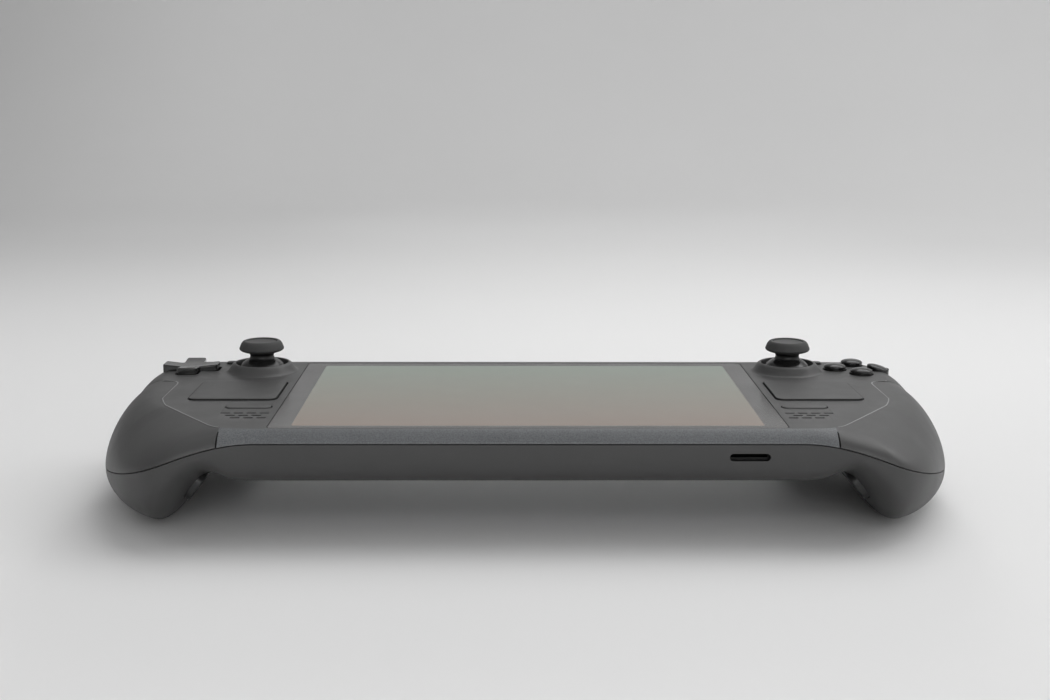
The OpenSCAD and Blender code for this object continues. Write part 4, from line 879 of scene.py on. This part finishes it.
def buttonRings(lean, proud):
    # a round key whose top is half an ellipse, leaned over by the slope of the shell
    r = control["button"]
    a = np.linspace(math.pi / 2, 0, 16)
    side = [(0, button["low"]), (r, button["low"]), (r, 0.2)]
    dome = np.stack([r * np.sin(a), proud - button["dome"] * (1 - np.cos(a))], -1)
    rings = turned(np.concatenate([side, dome]), 72)
    rings[3:, :, 2] -= rings[3:, :, 0] * math.tan(math.radians(lean))
    return moved(rings, 0, 0, faceZ)


for name, turn in buttonTurns.items():
    rings = moved(buttonRings(*button["lean"].get(name, (0.0, button["proud"]))), *buttonPlace(turn))
    node = "face_button_" + name
    addPiece(meshOf(name + "_face_button", [rings], [finish["blackGloss"]]), node, [node])

# corner, foot and top against the face, and rounded edge
keyShapes = {"small": (1.3, -3, 0.8, 0.3), "menu": (2.19, -3, 0.3, 0.25), "pad": (2.7, -1.9, 0.5, 0.2)}
smallNodes = {"left": "select_button", "right": "start_button"}
paintedShadeRows = 7  # rows of a trackpad's faces from its foot to just under its top


def faceKey(spot):
    corner, foot, top, edge = keyShapes[spot]
    return moved(keyRings(rectLoop(*control[spot], corner), faceZ + foot, faceZ + top, edge), *place[spot])


for side, flipped in sides.items():
    keys = {"small_key": ("small", "blackPlastic", smallNodes[side], "black_plastic"),
            "menu_key_cap": ("menu", "shellFront", side + "_menu_key", "shell_front"),
            "trackpad_plate": ("pad", "trackpad", side + "_trackpad", "trackpad")}
    for name, (spot, look, node, slotName) in keys.items():
        rings = faceKey(spot)
        # a trackpad's side rows take the dark opening finish: painted shade of the gap round the pad
        paintedShadeSides = zonesOf(rings, [1] * paintedShadeRows + [0] * (len(rings) - 1 - paintedShadeRows))
        zones = paintedShadeSides if spot == "pad" else None
        looks = [finish[look], finish["openingShade"]]
        addPiece(meshOf(side + "_" + name, [flipped(rings)], looks, zones), node, [node])
print("thumb controls built")


# Bumpers, triggers, paddles and edge keys
def bumperRings():
    # a strip with a full rounded front, its end sections drawn in a little
    s = np.linspace(0, 1, 25)
    out = bumper["proud"] - bumper["round"] * np.abs(2 * s - 1) ** 8
    section = np.concatenate([np.stack([out, s], -1), [(-bumper["thick"], 1), (-bumper["thick"], 0)]])
    path = bumperPath(bumper["start"], bumper["end"])
    rings = stripRings(path, section, 0, 0)
    mid = rings.mean(1, keepdims=True)
    drawn = np.ones(len(rings))
    drawn[[0, -1]] = 0.9
    return closedEnds(mid + (rings - mid) * drawn[:, None, None])


trigger = {"place": (113.0, 50.0, 16.85), "width": 35.0, "corner": 6.0, "front": 8.6, "edge": 0.8,
           "middle": (2.0, -3.0), "reach": 7, "curves": [
               [(2.5, 3.4), (6.5, 3.4), (8.6, 0.5), (8.3, -3.5)],
               [(8.3, -3.5), (8, -7.5), (6.6, -9), (7.2, -12.2)],
               [(7.2, -12.2), (7.4, -14.4), (4.6, -14.8), (3.4, -12.8)],
               [(3.4, -12.8), (1.4, -9.5), (1.2, -5.5), (-2.4, -3.2)],
               [(-2.4, -3.2), (-4.4, -2), (-4.4, 3.4), (-0.4, 3.4)]]}


def triggerRings():
    # the side view carried across the width, drawn in on a quarter circle at both ends; in plan the
    # front corners turn on a circle
    t = np.linspace(0, 1, 14, endpoint=False)
    shape = np.concatenate([bezier(k, t) for k in trigger["curves"]])
    w, r = trigger["width"] / 2, trigger["corner"]
    ends = np.array([0, 0.08, 0.25, 0.5, 0.8])
    x = np.concatenate([-w + ends, np.linspace(-w + 1.2, -w + r, 9), np.linspace(-w + r, w - r, 9)[1:-1],
                        np.linspace(w - r, w - 1.2, 9), (w - ends)[::-1]])
    edge = trigger["edge"]
    away = np.minimum(1, (w - np.abs(x)) / edge)
    inset = edge * (1 - np.sqrt(np.clip(1 - (1 - away) ** 2, 0, 1)))
    mid = np.array(trigger["middle"])
    grown = mid + (shape - mid)[None] * (1 - inset / trigger["reach"])[:, None, None]
    limit = trigger["front"] - r + np.sqrt(np.clip(r * r - np.maximum(0, np.abs(x) - w + r) ** 2, 0, None))
    y = np.minimum(grown[..., 0], limit[:, None])
    rings = np.stack([x[:, None] + 0 * y, y, grown[..., 1]], -1)
    return moved(closedEnds(rings), *trigger["place"])


def paddleTop(p):
    # a slight crown along the paddle: a parabola, highest in the middle
    along = p[:, 1] / (grip["paddle"][1] / 2)
    return grip["crown"] * (1 - along ** 2) - grip["crown"]


paddle = keyRings(rectLoop(*grip["paddle"], 3.7), -1.9, grip["proud"], 0.55, paddleTop)
for side, flipped in sides.items():
    caps = {side + "_bumper": bumperRings(), side + "_trigger": triggerRings()}
    for name, y in zip(grip["names"], grip["y"]):
        caps[side + "_" + name + "_paddle"] = onGrip(paddle, y)
    for node, rings in caps.items():
        look = finish["paddleGloss" if node.endswith("paddle") else "controlGrey"]
        addPiece(meshOf(node + "_cap", [flipped(rings)], [look]), node, [node])

edgeKey = keyRings(rectLoop(*ports["keySize"], 1.49), -3, 0.6, 0.3)
for node, x in ports["keys"].items():
    rings = np.stack([x + edgeKey[..., 0], farY + edgeKey[..., 2], place["portZ"] + edgeKey[..., 1]], -1)
    addPiece(meshOf(node + "_cap", [rings], [finish["blackPlastic"]]), node, [node])
print("shoulder controls, paddles and edge keys built")


# Screws on the back: a low head with a six-lobed socket
def screwRings():
    r = screws["radius"]
    a = np.linspace(0, 2 * math.pi, 72, endpoint=False)
    star = 0.86 + 0.12 * np.cos(6 * a)
    head = turned([(0, 3.0), (r, 3.0), (r, 0.3), (r - 0.1, 0.09), (r - 0.3, 0)], len(a))
    socket = turned([(1.04, 0), (1, 0.06), (0.97, 0.9), (0, 0.95)], len(a), star)
    return np.concatenate([head, socket])


heads = [moved(screwRings(), sign * screws["x"], y, screws["floor"] + screws["sink"])
         for sign in (-1, 1) for y in screws["y"]]
mesh = meshOf("back_screw_heads", heads, [finish["blackPlastic"]])
addPiece(mesh, "body", ["back_screws"])

# Finishes of the nodes that keep their own shape
kept = {
    "blackPlastic": ["headphone_socket", "left_speaker", "right_speaker", "fan_housing", "fan_rotor",
                     "dpad_rocker", "display_panel"],
    # the card reader takes a near-black finish: painted shade inside the card slot
    "paintedShadeSteel": ["card_reader"],
    "steel": ["usb_socket", "bumper_pins", "trigger_pins", "left_trackpad_tray", "right_trackpad_tray"],
    "controlGrey": ["left_trigger_bracket", "right_trigger_bracket"],
    "innerPlastic": ["left_stick_ring", "right_stick_ring", "left_stick_cradle", "right_stick_cradle",
                     "left_stick_base", "right_stick_base"],
    "silicone": ["left_button_mat", "right_button_mat"],
    "board": ["main_board", "storage_card", "left_control_board", "right_control_board"],
    "copper": ["heat_pipe"],
    "fins": ["heat_sink"],
    "battery": ["battery"],
}
for look, names in kept.items():
    for name in names:
        nodes[name].data.materials.clear()
        nodes[name].data.materials.append(finish[look])
print("screws and inner finishes done")

# Studio: a pale floor that sweeps up all round, and four lamps: overhead, in front, to the right and
# low behind; each has its place and aim in metres, size, power in watts and beam in degrees
studio = {"flat": 1.05, "curve": 0.7, "wall": 1.9, "tone": 0.83, "world": 0.42,
          # these fades paint shade and light on the paper: darker to the left and the back, paler high up
          "paintedLightFades": {"X": (-1.0, -0.3, 0.56, 1.0), "Y": (0.2, 0.8, 1.0, 0.79), "Z": (0.22, 0.6, 0.96, 1.34)},
          "lamps": {"overhead": ((0.5, 0.6, 1.35), (0.1, 0.15, 0), 1.4, 10.5, 180),
                    "front": ((0.15, -1.3, 0.5), (0, 0, 0.02), 1.0, 4.1, 180),
                    "right": ((1.15, 0.2, 0.9), (0, 0, 0.02), 0.8, 3.0, 180),
                    "behind": ((0.1, 1.3, 0.36), (0, 0, 0.02), 0.5, 0.23, 30)}}


def buildStudio(s):
    # a flat disc, a quarter circle up, and an upright wall, turned about the middle
    a = np.linspace(0, math.pi / 2, 14)
    curve = np.stack([s["flat"] + s["curve"] * np.sin(a), s["curve"] * (1 - np.cos(a))], -1)
    middle, wall = [(0, 0), (0.3, 0), (0.7, 0)], [(s["flat"] + s["curve"], s["wall"])]
    profile = np.concatenate([middle, curve, wall]) / mm
    material, tree, shader = newMaterial("studioPaper")
    mesh = meshOf("studio_floor", [turned(profile, 96)], [material])
    where = placeOf(tree)
    axes = axesOf(tree, where)
    paper = addNoise(tree, where, Scale=2.2, Detail=3.0)
    tone = spread(tree, paper, 0.985 * s["tone"], 1.015 * s["tone"])
    # painted shade and light on the paper: darker to the left and the back, paler high up
    for axis, (start, end, first, last) in s["paintedLightFades"].items():
        fade = addNode(tree, "ShaderNodeMapRange", From_Min=start, From_Max=end, To_Min=first, To_Max=last)
        fade.interpolation_type = "SMOOTHSTEP"
        tree.links.new(axes[axis], fade.inputs["Value"])
        tone = combine(tree, "MULTIPLY", tone, fade.outputs["Result"])
    tree.links.new(tone, shader.inputs["Base Color"])
    shader.inputs["Roughness"].default_value = 0.85
    shader.inputs["Specular IOR Level"].default_value = 0.2
    mesh.shade_smooth()
    floor = bpy.data.objects.new("studio_floor", mesh)
    scene.collection.objects.link(floor)
    for name, (spot, aim, size, power, beam) in s["lamps"].items():
        lamp = bpy.data.lights.new(name, "AREA")
        lamp.size, lamp.energy, lamp.spread = size, power, math.radians(beam)
        light = bpy.data.objects.new(name, lamp)
        light.location = spot
        light.visible_glossy = name != "behind"  # that lamp only lifts the shade under the body
        light.rotation_euler = (Vector(aim) - Vector(spot)).to_track_quat("-Z", "Y").to_euler()
        scene.collection.objects.link(light)
    world = bpy.data.worlds.new("studio")
    world.use_nodes = True
    world.node_tree.nodes["Background"].inputs["Strength"].default_value = s["world"]
    world.node_tree.nodes["Background"].inputs["Color"].default_value = (1, 1, 1, 1)
    scene.world = world


buildStudio(studio)
print("studio ready")
